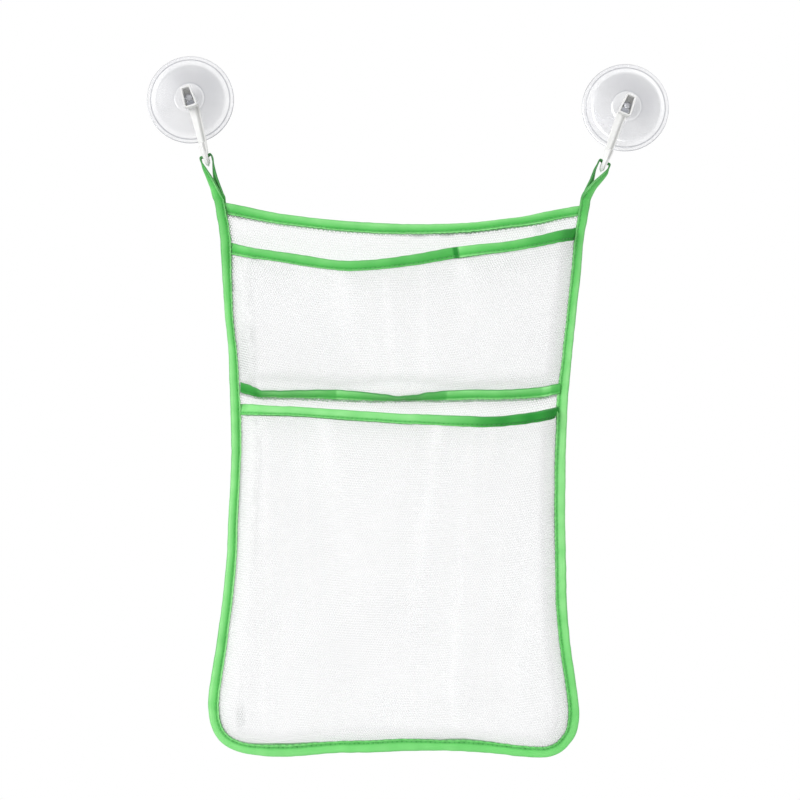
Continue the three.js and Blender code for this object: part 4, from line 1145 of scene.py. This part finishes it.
line = mouth_path(lower_z, lower_y, 2.6)
A, B = cross_frames(line)
lower_free = soft_table([(-111, 3.5), (-87, 2.8), (-62, 2.7), (-38, 3.1), (-7, 3.4), (23, 3.1), (41, 3.4), (72, 3.1), (84, 2.8), (99, 3.2)])
lower_fold = soft_table([(-111, 4.3), (-87, 4.0), (-50, 3.9), (-13, 3.5), (35, 3.9), (60, 3.7), (84, 4.3), (99, 4.5)])
# painted light and painted shade along the lower mouth tape, darker towards the right
pieces["lower"], pieces["lower_sewing"] = bound_tape("lower_mouth_tape", line, A, B, 1.3, puff=0.34, groove=0.32, lip=0.16, plateau=soft_table([(-111, 1), (10, 0.9), (45, 0.4), (99, 0.1)])(line[:, 0]), deep=soft_table([(-111, 0.0), (0, 0.03), (20, 0.10), (40, 0.30), (52, 0.62), (65, 0.84), (99, 0.92)])(line[:, 0]), dashed=0.45, seed=191, free=lower_free(line[:, 0]), fold=lower_fold(line[:, 0]), pale=soft_table([(-112, 0.95), (0, 1.0), (30, 0.8), (55, 0.35), (100, 0.25)])(line[:, 0]), roll=soft_table([(-112, -16), (-40, -14), (0, -8), (30, 4), (60, 16), (100, 18)])(line[:, 0]), taper=0.42, node="lower_pocket_binding", stitch_node="lower_pocket_stitching")

# across the foot of the upper pocket: hinged on its lower edge, tipped forward here and there
xs = np.linspace(left_x(-194.0) + 3.2, right_x(-194.0) - 3.2, 500)
lean = np.radians(foot_turn(xs))
low = foot_z(xs)
mid_y = -12.55 - 3.5 * np.sin(lean)
mid_z = low + 3.5 * np.cos(lean)
line, tip = spaced(np.column_stack([xs, mid_y, mid_z]), STEP, extra=foot_turn(xs))
A, B = cross_frames(np.column_stack([line[:, 0], np.full(len(line), -12.5), line[:, 2]]))
A = np.tile([0.0, 0.0, -1.0], (len(line), 1))
B = np.tile([0.0, 1.0, 0.0], (len(line), 1))
# painted light and painted shade along the foot tape, with painted shade on its fold crest
pieces["foot"], pieces["foot_sewing"] = bound_tape("foot_tape", line, A, B, 0.62, puff=0.22, groove=0.16, lip=0.10, seed=211, pale=soft_table([(-113, 0.5), (-100, 0.4), (-95, 1.1), (-88, 1.1), (-60, 0.9), (-49, 0.7), (-47, 1.5), (-41, 1.2), (-30, 1.0), (0, 0.7), (24, 0.7), (27, 1.4), (34, 1.1), (60, 1.0), (89, 1.0), (92, 1.5), (95.5, 1.3), (97.5, 0.8), (101, 0.5)])(line[:, 0]), crest=0.7, dashed=0.7, front_row=False, overcast=(10.0, 210.0, 1.5, 2.7, 219, 0.9, 0.45), deep=soft_table([(-113, 0.70), (-107, 0.60), (-102, 0.75), (-97, 0.25), (-90, 0.05), (-75, 0.14), (-62, 0.10), (-53, 0.22), (-49, 0.26), (-47.5, 0.0), (-43, 0.0), (-38, 0.05), (-20, 0.22), (-8, 0.38), (3, 0.42), (12, 0.36), (23, 0.34), (25.5, 0.30), (27, 0.0), (50, 0.0), (75, 0.05), (89, 0.14), (91.5, 0.0), (95.5, 0.0), (97, 0.30), (101, 0.45)])(line[:, 0]), roll=tip, taper=0.75, hollow=False, back=0.3, node="divider_binding", stitch_node="divider_stitching")

for obj in pieces.values():
    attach(obj, "bag")

# ---------------------------------------------------------------- loops


def loop(side, axis, lean, front, back, corner_start):
    """One tape from the bag's corner, up over the hook and down again behind."""
    name = "left" if side < 0 else "right"
    t = math.radians(lean)
    down = np.array([-math.sin(t), 0.0, -math.cos(t)])
    out = np.array([math.cos(t), 0.0, -math.sin(t)]) * side
    seat = np.array([axis[0], -14.6, axis[1]]) + 43.05 * down
    at = lambda o, d: seat + o * out + d * down
    ahead, behind, up = np.array([0.0, -1.0, 0.0]), np.array([0.0, 1.0, 0.0]), -down
    keys = []  # place, the way its outer face looks, width inside and outside its middle, half thickness
    both = lambda width: (width / 2, width / 2)
    end = 0.0 if side < 0 else rim_s[-1]
    under = [np.interp(end - 3.0 * side, rim_s, rim[:, k]) for k in (0, 1)]
    grip = (float(rim_free(end)), float(rim_fold(end)))
    keys.append((np.array([under[0], BAG_Y, under[1]]), ahead, grip, 1.54))
    keys.append((np.array([corner_start[0], BAG_Y, corner_start[1]]), ahead, grip, 1.60))
    for (x, z, y, turn), half in zip(front, (1.05, 0.66, 0.54, 0.46)):
        keys.append((np.array([x, y, z]), unit(out * (1 - turn) + ahead * turn), both(5.6 + 1.2 * turn), half))
    s = 3.9
    mixed = lambda p, q, k: unit(p * (1 - k) + q * k)
    # the cloth stands up in an ear on each side of the hook
    for p, n in ((at(s, 1.9), out), (at(s - 0.02, 0.3), mixed(out, up, 0.2)), (at(s - 0.42, -0.72), mixed(out, up, 0.6)), (at(s - 1.15, -0.62), mixed(up, -out, 0.12)), (at(0, 0), up), (at(-s + 1.15, -0.95), mixed(up, out, 0.15)), (at(-s + 0.42, -1.15), mixed(-out, up, 0.6)), (at(-s + 0.02, 0.2), mixed(-out, up, 0.2)), (at(-s, 1.9), -out)):
        keys.append((p, n, both(5.6), 0.46))
    middle = 2 + len(front) + 4
    for x, z, y, turn in back[::-1]:
        keys.append((np.array([x, y, z]), unit(-out * (1 - turn) + behind * turn), both(5.6 + 1.2 * turn), 0.5))
    x, z, y, _ = back[0]
    keys.append((np.array([x - side * 0.5, -10.05, z - 2.4]), behind, both(5.9), 0.48))
    keys.append((np.array([x - side * 1.3, -9.95, z - 5.0]), behind, both(5.5), 0.45))

    dense, place = catmull([k[0] for k in keys], 24)
    P, place = spaced(dense[24:], 0.5, extra=place[24:])
    stack = lambda j: np.array([k[j] for k in keys], float)
    index = np.arange(len(keys))
    N = unit(np.column_stack([np.interp(place, index, stack(1)[:, k]) for k in range(3)]))
    inside, outside = (np.interp(place, index, stack(2)[:, k]) for k in (0, 1))
    width = inside + outside
    half = np.interp(place, index, stack(3))
    s = lengths(P)
    lead = rim[0] - rim[1] if side < 0 else rim[-1] - rim[-2]
    near = ease(s, 0, 6)[:, None]
    T = unit(unit([lead[0], 0.0, lead[1]]) * (1 - near) + tangents(P) * near)
    N = unit(N - (N * T).sum(1, keepdims=True) * T)
    A = np.cross(T, N) * (-side)
    w1, w2, w3 = Wave(300 + side, 16), Wave(310 + side, 7), Wave(320 + side, 24)
    seated = np.exp(-(((place - middle) / 2.2) ** 2))
    sections, marks = tape_sections(len(P), half, 0.14 + 0.26 * ease(half, 0.6, 1.55) + 0.05 * w1(s), (0.08 + 0.28 * ease(half, 0.7, 1.55)) * (1 + 0.3 * w2(s)), 0.08 + 0.10 * ease(half, 0.7, 1.55) + 0.05 * w2(s), inside, outside, hollow=False, back=0.6)
    marks.pop("flat")
    # painted shade in the groove, darker at the needle holes near the corner; less painted light; and painted shade
    # over the top, where the tape passes over the hook, and down the strand behind
    marks["groove"] *= (0.25 + 0.6 * pucker(s) ** 6 * (s < 21))[:, None]
    marks["fade"] *= 0.8
    top = np.exp(-(((place - middle) / 5.2) ** 4))
    marks["deep"] = np.clip(0.06 + 0.60 * top + 0.42 * (place > middle) + 0.10 * w1(s), 0, 0.95)[:, None] * np.ones_like(marks["fade"])
    # cupped across its width where it lies in the hook
    cup = (sections[..., 0] / (width[:, None] / 2)) ** 2
    sections[..., 1] -= (0.45 * seated)[:, None] * cup
    sections = rolled(sections, 2.5 * w3(s) * ease(s, 7, 15))
    ring, tone = tape_ends["rim_tape"][0 if side < 0 else 1]
    outer = 2 * len(ACROSS) - 1
    near = ease(s, 0, 10)[:, None]
    sections[:, :outer] = ring[None, :outer] * (1 - near[..., None]) + sections[:, :outer] * near[..., None]
    for key in marks:
        marks[key][:, :outer] = tone[key][None, :outer] * (1 - near) + marks[key][:, :outer] * near
    obj = sweep(f"loop_{name}_tape", P, A, -N, sections, -s if side < 0 else end + s, marks, GREEN)
    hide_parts(f"loop_{name}")

    run = s < 20.0
    rows = [stitch_row(P[run], A[run], -N[run], STITCH_A * (width[run] / TAPE), half[run] - 0.12, 340 + side, side=-1, start=0.6, end=0.3)]
    tail = s > s[-1] - 8.0
    rows.append(stitch_row(P[tail], A[tail], -N[tail], STITCH_A, half[tail] - 0.1, 350 + side, side=-1, start=0.5, end=0.3))
    sewing = join_rows(f"loop_{name}_sewing", rows)
    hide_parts(f"loop_stitching_{name}")
    x = corner_start[0] * MM
    for piece in (obj, sewing):
        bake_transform(piece)
    return obj, sewing


pieces["loop_left"], pieces["loop_left_sewing"] = loop(-1, CUP_LEFT, LEAN_LEFT, LOOP_LEFT_FRONT, LOOP_LEFT_BACK, (-126.6, -66.8))
pieces["loop_right"], pieces["loop_right_sewing"] = loop(1, CUP_RIGHT, LEAN_RIGHT, LOOP_RIGHT_FRONT, LOOP_RIGHT_BACK, (119.85, -66.9))

# ---------------------------------------------------------------- suction cups

# radius, height off the wall, and how grey the clear plastic is there: a little greyer where it is thick, with painted
# shade in dark lines at the rim's edges and round the boss, and on the neck and head inside the hook's box
CUP = [
    (0, 3.0, 0.2), (6, 2.92, 0.2), (12, 2.6, 0.2), (17, 2.12, 0.2), (22, 1.5, 0.14), (25, 0.75, 0.0), (26.7, 0.08, 0.0), (27.0, 0.0, 0.01), (29.2, 0.0, 0.08), (29.42, 0.1, 0.7), (29.55, 0.36, 1.0), (29.5, 0.72, 1.0),
    (29.36, 1.0, 0.8), (29.1, 1.18, 0.05), (28.6, 1.2, 0.0), (27.9, 1.1, 0.0), (27.4, 1.1, 0.06), (27.1, 1.3, 0.75), (26.7, 1.62, 0.60), (26.3, 1.8, 0.02), (25.4, 2.0, 0.0), (24.6, 2.14, 0.0), (23.7, 2.3, 0.05), (23.2, 2.5, 0.14), (22.85, 2.86, 0.20), (22.5, 3.14, 0.22),
    (21.6, 3.5, 0.24), (20, 4.06, 0.25), (18, 4.7, 0.26), (15.8, 5.34, 0.27), (13.5, 5.9, 0.27), (11.6, 6.26, 0.28), (10.6, 6.42, 0.36), (10.2, 6.56, 0.46), (10.0, 6.84, 0.34), (9.96, 7.16, 0.08), (9.8, 7.38, 0.0), (9.5, 7.5, 0.02),
    (8.6, 7.52, 0.08), (6.5, 7.4, 0.10), (5.7, 7.4, 0.12), (4.2, 7.4, 0.16), (2.5, 7.5, 0.3), (2.02, 7.6, 0.4), (1.8, 7.8, 0.7), (1.75, 8.2, 0.8), (1.75, 9.7, 0.75), (1.84, 9.95, 0.70), (2.2, 10.12, 0.68), (2.35, 10.4, 0.68), (2.35, 11.35, 0.66),
    (2.24, 11.78, 0.66), (1.92, 12.06, 0.66), (1.4, 12.2, 0.66), (0, 12.2, 0.66),
]


def cup(name, axis, node, lean):
    sides = 128
    down = -0.5 * math.pi - math.radians(lean)
    rings = CUP[1:-1]
    verts = [(axis[0], -CUP[0][1], axis[1])]
    tint = [CUP[0][2]]
    knob = [0.0]
    for r, h, grey in rings:
        for k in range(sides):
            t = 2 * math.pi * k / sides
            verts.append((axis[0] + r * math.cos(t), -h, axis[1] + r * math.sin(t)))
            # painted shade: the dome is darker towards the top and the right
            grey_here = grey * (1 + 0.38 * math.sin(t) + 0.22 * math.cos(t)) if 9.0 < r < 24.0 else grey
            # painted shade on the boss below the neck, inside the hook's box, which is also made rougher there
            under_box_shade = float(ease(math.cos(t - down), 0.55, 0.8)) if 1.7 < r < 6.0 and 7.0 < h < 8.3 else 0.0
            # and a painted shadow of the hook's box on the boss's right side
            hook_shadow = 0.24 * float(ease(math.cos(t + 0.2), 0.1, 0.95)) if 4.0 < r < 9.2 and 7.0 < h < 7.7 else 0.0
            tint.append(max(grey_here + hook_shadow, 0.9 * under_box_shade))
            knob.append(1.0 if h > 9.6 else under_box_shade)
    tint.append(CUP[-1][2])
    knob.append(1.0)
    verts.append((axis[0], -CUP[-1][1], axis[1]))
    faces = []
    for k in range(sides):
        l = (k + 1) % sides
        faces.append([0, 1 + k, 1 + l])
        last = 1 + (len(rings) - 1) * sides
        faces.append([len(verts) - 1, last + l, last + k])
        for i in range(len(rings) - 1):
            faces.append([1 + i * sides + k, 1 + (i + 1) * sides + k, 1 + (i + 1) * sides + l, 1 + i * sides + l])
    obj = mesh_object(name, verts, faces, attributes={"tint": tint, "knob": knob}, material=CLEAR, outward=True)
    sharpen(obj, 50)
    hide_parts(node)
    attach(obj, "suction_cups")


cup("cup_left_clear", CUP_LEFT, "suction_cup_left", LEAN_LEFT)
cup("cup_right_clear", CUP_RIGHT, "suction_cup_right", LEAN_RIGHT)

# ---------------------------------------------------------------- hooks


def rounded(corners, radius, n=6):
    """A polygon with its corners rounded."""
    out = []
    c = np.array(corners, float)
    for i in range(len(c)):
        p, q, r = c[i - 1], c[i], c[(i + 1) % len(c)]
        a, b = unit(p - q), unit(r - q)
        half = 0.5 * math.acos(np.clip(a @ b, -1, 1))
        d = radius / math.tan(half)
        mid = q + unit(a + b) * (radius / math.sin(half))
        v0, v1 = q + a * d - mid, q + b * d - mid
        for k in range(n + 1):
            v = unit(v0 * (1 - k / n) + v1 * (k / n)) * radius
            out.append(mid + v)
    return np.array(out)


def by_angle(outline, middle, n):
    """Points of a closed outline where rays from the middle cross it."""
    q = np.vstack([outline, outline[:1]]) - middle
    out = []
    for k in range(n):
        t = 2 * math.pi * (k + 0.5) / n
        d = np.array([math.cos(t), math.sin(t)])
        best = 0.0
        for a, b in zip(q[:-1], q[1:]):
            den = d[0] * (b - a)[1] - d[1] * (b - a)[0]
            if abs(den) < 1e-9:
                continue
            w = (a[0] * (b - a)[1] - a[1] * (b - a)[0]) / den
            v = (a[0] * d[1] - a[1] * d[0]) / den
            if w > 0 and -1e-6 <= v <= 1 + 1e-6:
                best = max(best, w)
        out.append(middle + d * best)
    return np.array(out)


def hook(name, axis, lean, node, body, shift):
    n = 112
    mid = np.array([0.0, -1.3])
    trapezoid = lambda inset: [(-4.6 + inset, -7.3 + inset), (4.6 - inset, -7.3 + inset), (3.4 - inset, 6.9 - inset), (-3.4 + inset, 6.9 - inset)]
    ring = lambda inset, r: by_angle(rounded(trapezoid(inset), r), mid, n)
    key = []
    for k in range(48):
        t = math.radians(-47) + math.radians(274) * k / 47
        key.append((2.05 * math.cos(t), 2.05 * math.sin(t)))
    for k in range(48):
        t = math.radians(142) + math.radians(256) * k / 47
        key.append((2.6 * math.cos(t), -3.3 + 2.6 * math.sin(t)))
    key = by_angle(np.array(key), mid, n)
    grown = mid + (key - mid) * (1 + 0.25 / np.linalg.norm(key - mid, axis=1, keepdims=True))
    loops = [
        (grown, 7.8), (key, 8.05), (key, 9.15), (grown, 9.4),
        (ring(1.6, 0.5), 9.4), (ring(1.36, 0.7), 9.55), (ring(1.28, 0.75), 9.9), (ring(1.2, 0.8), 12.0), (ring(1.12, 0.85), 16.1), (ring(1.0, 0.9), 16.4), (ring(0.8, 1.0), 16.5),
        (ring(0.34, 1.3), 16.5), (ring(0.1, 1.4), 16.36), (ring(0.0, 1.45), 16.0), (ring(0.0, 1.45), 12.0), (ring(0.0, 1.45), 8.3), (ring(0.1, 1.4), 7.95), (ring(0.35, 1.3), 7.8),
    ]
    verts = np.vstack([np.column_stack([o[:, 0], np.full(n, -h), o[:, 1]]) for o, h in loops])
    faces = []
    for i in range(len(loops)):
        j = (i + 1) % len(loops)
        for k in range(n):
            l = (k + 1) % n
            faces.append([i * n + k, i * n + l, j * n + l, j * n + k])
    box = mesh_object(name, verts, faces, outward=True)

    # arm and J: the inner and outer lines in side view, height above the wall and distance below the neck
    inner, outer = [], []
    for w in np.linspace(6.6, 40.3, 24):
        inner.append((10.6, w))
        outer.append((7.8, w))
    for k in range(1, 24):
        t = math.pi * k / 24
        inner.append((14.6 - 4.0 * math.cos(t), 40.3 + 4.0 * abs(math.sin(t)) ** 0.8))
        outer.append((14.5 - 6.7 * math.cos(t), 40.3 + 9.0 * math.sin(t) ** 0.9))
    for w in np.linspace(40.3, 34.2, 7):
        inner.append((18.6, w))
        outer.append((21.2, w))
    for k in range(1, 6):
        t = 0.5 * math.pi * k / 6
        inner.append((18.6 + 1.3 * (1 - math.cos(t)), 34.2 - 0.85 * math.sin(t)))
        outer.append((21.2 - 1.3 * (1 - math.cos(t)), 34.2 - 0.85 * math.sin(t)))
    inner, outer = np.array(inner), np.array(outer)
    # a raised rib left of a thin flange
    profile = [(-1.0, 0.12), (-0.985, 0.28), (-0.93, 0.42), (-0.80, 0.52), (-0.40, 0.72), (-0.05, 0.93), (0.03, 0.985), (0.10, 0.985), (0.17, 0.93), (0.52, 0.42), (0.58, 0.34), (0.66, 0.30), (0.85, 0.28), (0.94, 0.25), (0.985, 0.18), (1.0, 0.10)]
    section = profile + [(u, -v) for u, v in profile[::-1]]
    m = len(section)
    rows = []
    for i, (p, q) in enumerate(zip(inner, outer)):
        w = max(p[1], q[1])
        wide = np.interp(0.5 * (p[1] + q[1]), [7.3, 34.0, 41.0, 48.0], [3.6, 2.7, 2.0, 1.35])
        if i > len(inner) - 6:
            wide *= math.cos(0.5 * math.pi * (i - (len(inner) - 6)) / 6.5) ** 0.5
        c, d = 0.5 * (p + q), 0.5 * (p - q)
        aside = shift * (1 - ease(c[1], 9, 39))
        rows.append([(aside + u * wide, -(c[0] + v * d[0]), -(c[1] + v * d[1])) for u, v in section])
    rows = np.array(rows)
    faces = []
    for i in range(len(rows) - 1):
        for k in range(m):
            l = (k + 1) % m
            faces.append([i * m + k, i * m + l, (i + 1) * m + l, (i + 1) * m + k])
    faces.append(list(range(m))[::-1])
    faces.append([(len(rows) - 1) * m + k for k in range(m)])
    arm = mesh_object(name + "_arm", rows.reshape(-1, 3), faces, outward=True)

    join = box.modifiers.new("join", "BOOLEAN")
    join.operation = "UNION"
    join.solver = "EXACT"
    join.object = arm
    bpy.context.view_layer.update()
    got = bpy.data.meshes.new_from_object(box.evaluated_get(bpy.context.evaluated_depsgraph_get()))
    old = box.data
    box.modifiers.clear()
    box.data = got
    bpy.data.meshes.remove(old)
    bpy.data.objects.remove(arm)
    got.name = name
    got.materials.clear()
    got.materials.append(WHITE)
    got.polygons.foreach_set("use_smooth", [True] * len(got.polygons))
    sharpen(box, 24)
    # painted shade inside the box, deeper in and towards its bottom
    co = np.array([v.co for v in got.vertices]) / MM
    x, h, z = co[:, 0], -co[:, 1], co[:, 2]
    within = (np.abs(x) < 4.6 - 1.2 * (z + 7.3) / 14.2 - 0.85) & (z > -6.5) & (z < 6.1) & (h > 7.5)
    mark = got.attributes.new("recess", "FLOAT", "POINT")
    # and painted shade along the foot of the rib
    u = (x - shift * (1 - ease(-z, 9, 39))) / np.interp(-z, [7.3, 34.0, 41.0, 48.0], [3.6, 2.7, 2.0, 1.35])
    rib = np.where((z < -7.6) & (z > -39.5) & (h > 9.2), np.interp(u, [0.1, 0.17, 0.52, 0.58, 0.66, 0.85], [0, 0.10, 0.42, 0.48, 0.30, 0]), 0.0)
    mark.data.foreach_set("value", np.where(within, ease(h, 16.2, 10.5) * 0.65 * ease(z, -2.8, -5.8), rib).astype(np.float32))
    got.transform(Matrix.Translation((axis[0] * MM, 0, axis[1] * MM)) @ Matrix.Rotation(math.radians(lean), 4, "Y"))
    got.update()
    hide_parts(node)
    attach(box, body)


hook("hook_left_moulded", CUP_LEFT, LEAN_LEFT, "hook_left", "hook_left", 1.2)
hook("hook_right_moulded", CUP_RIGHT, LEAN_RIGHT, "hook_right", "hook_right", -1.0)

bpy.context.view_layer.update()
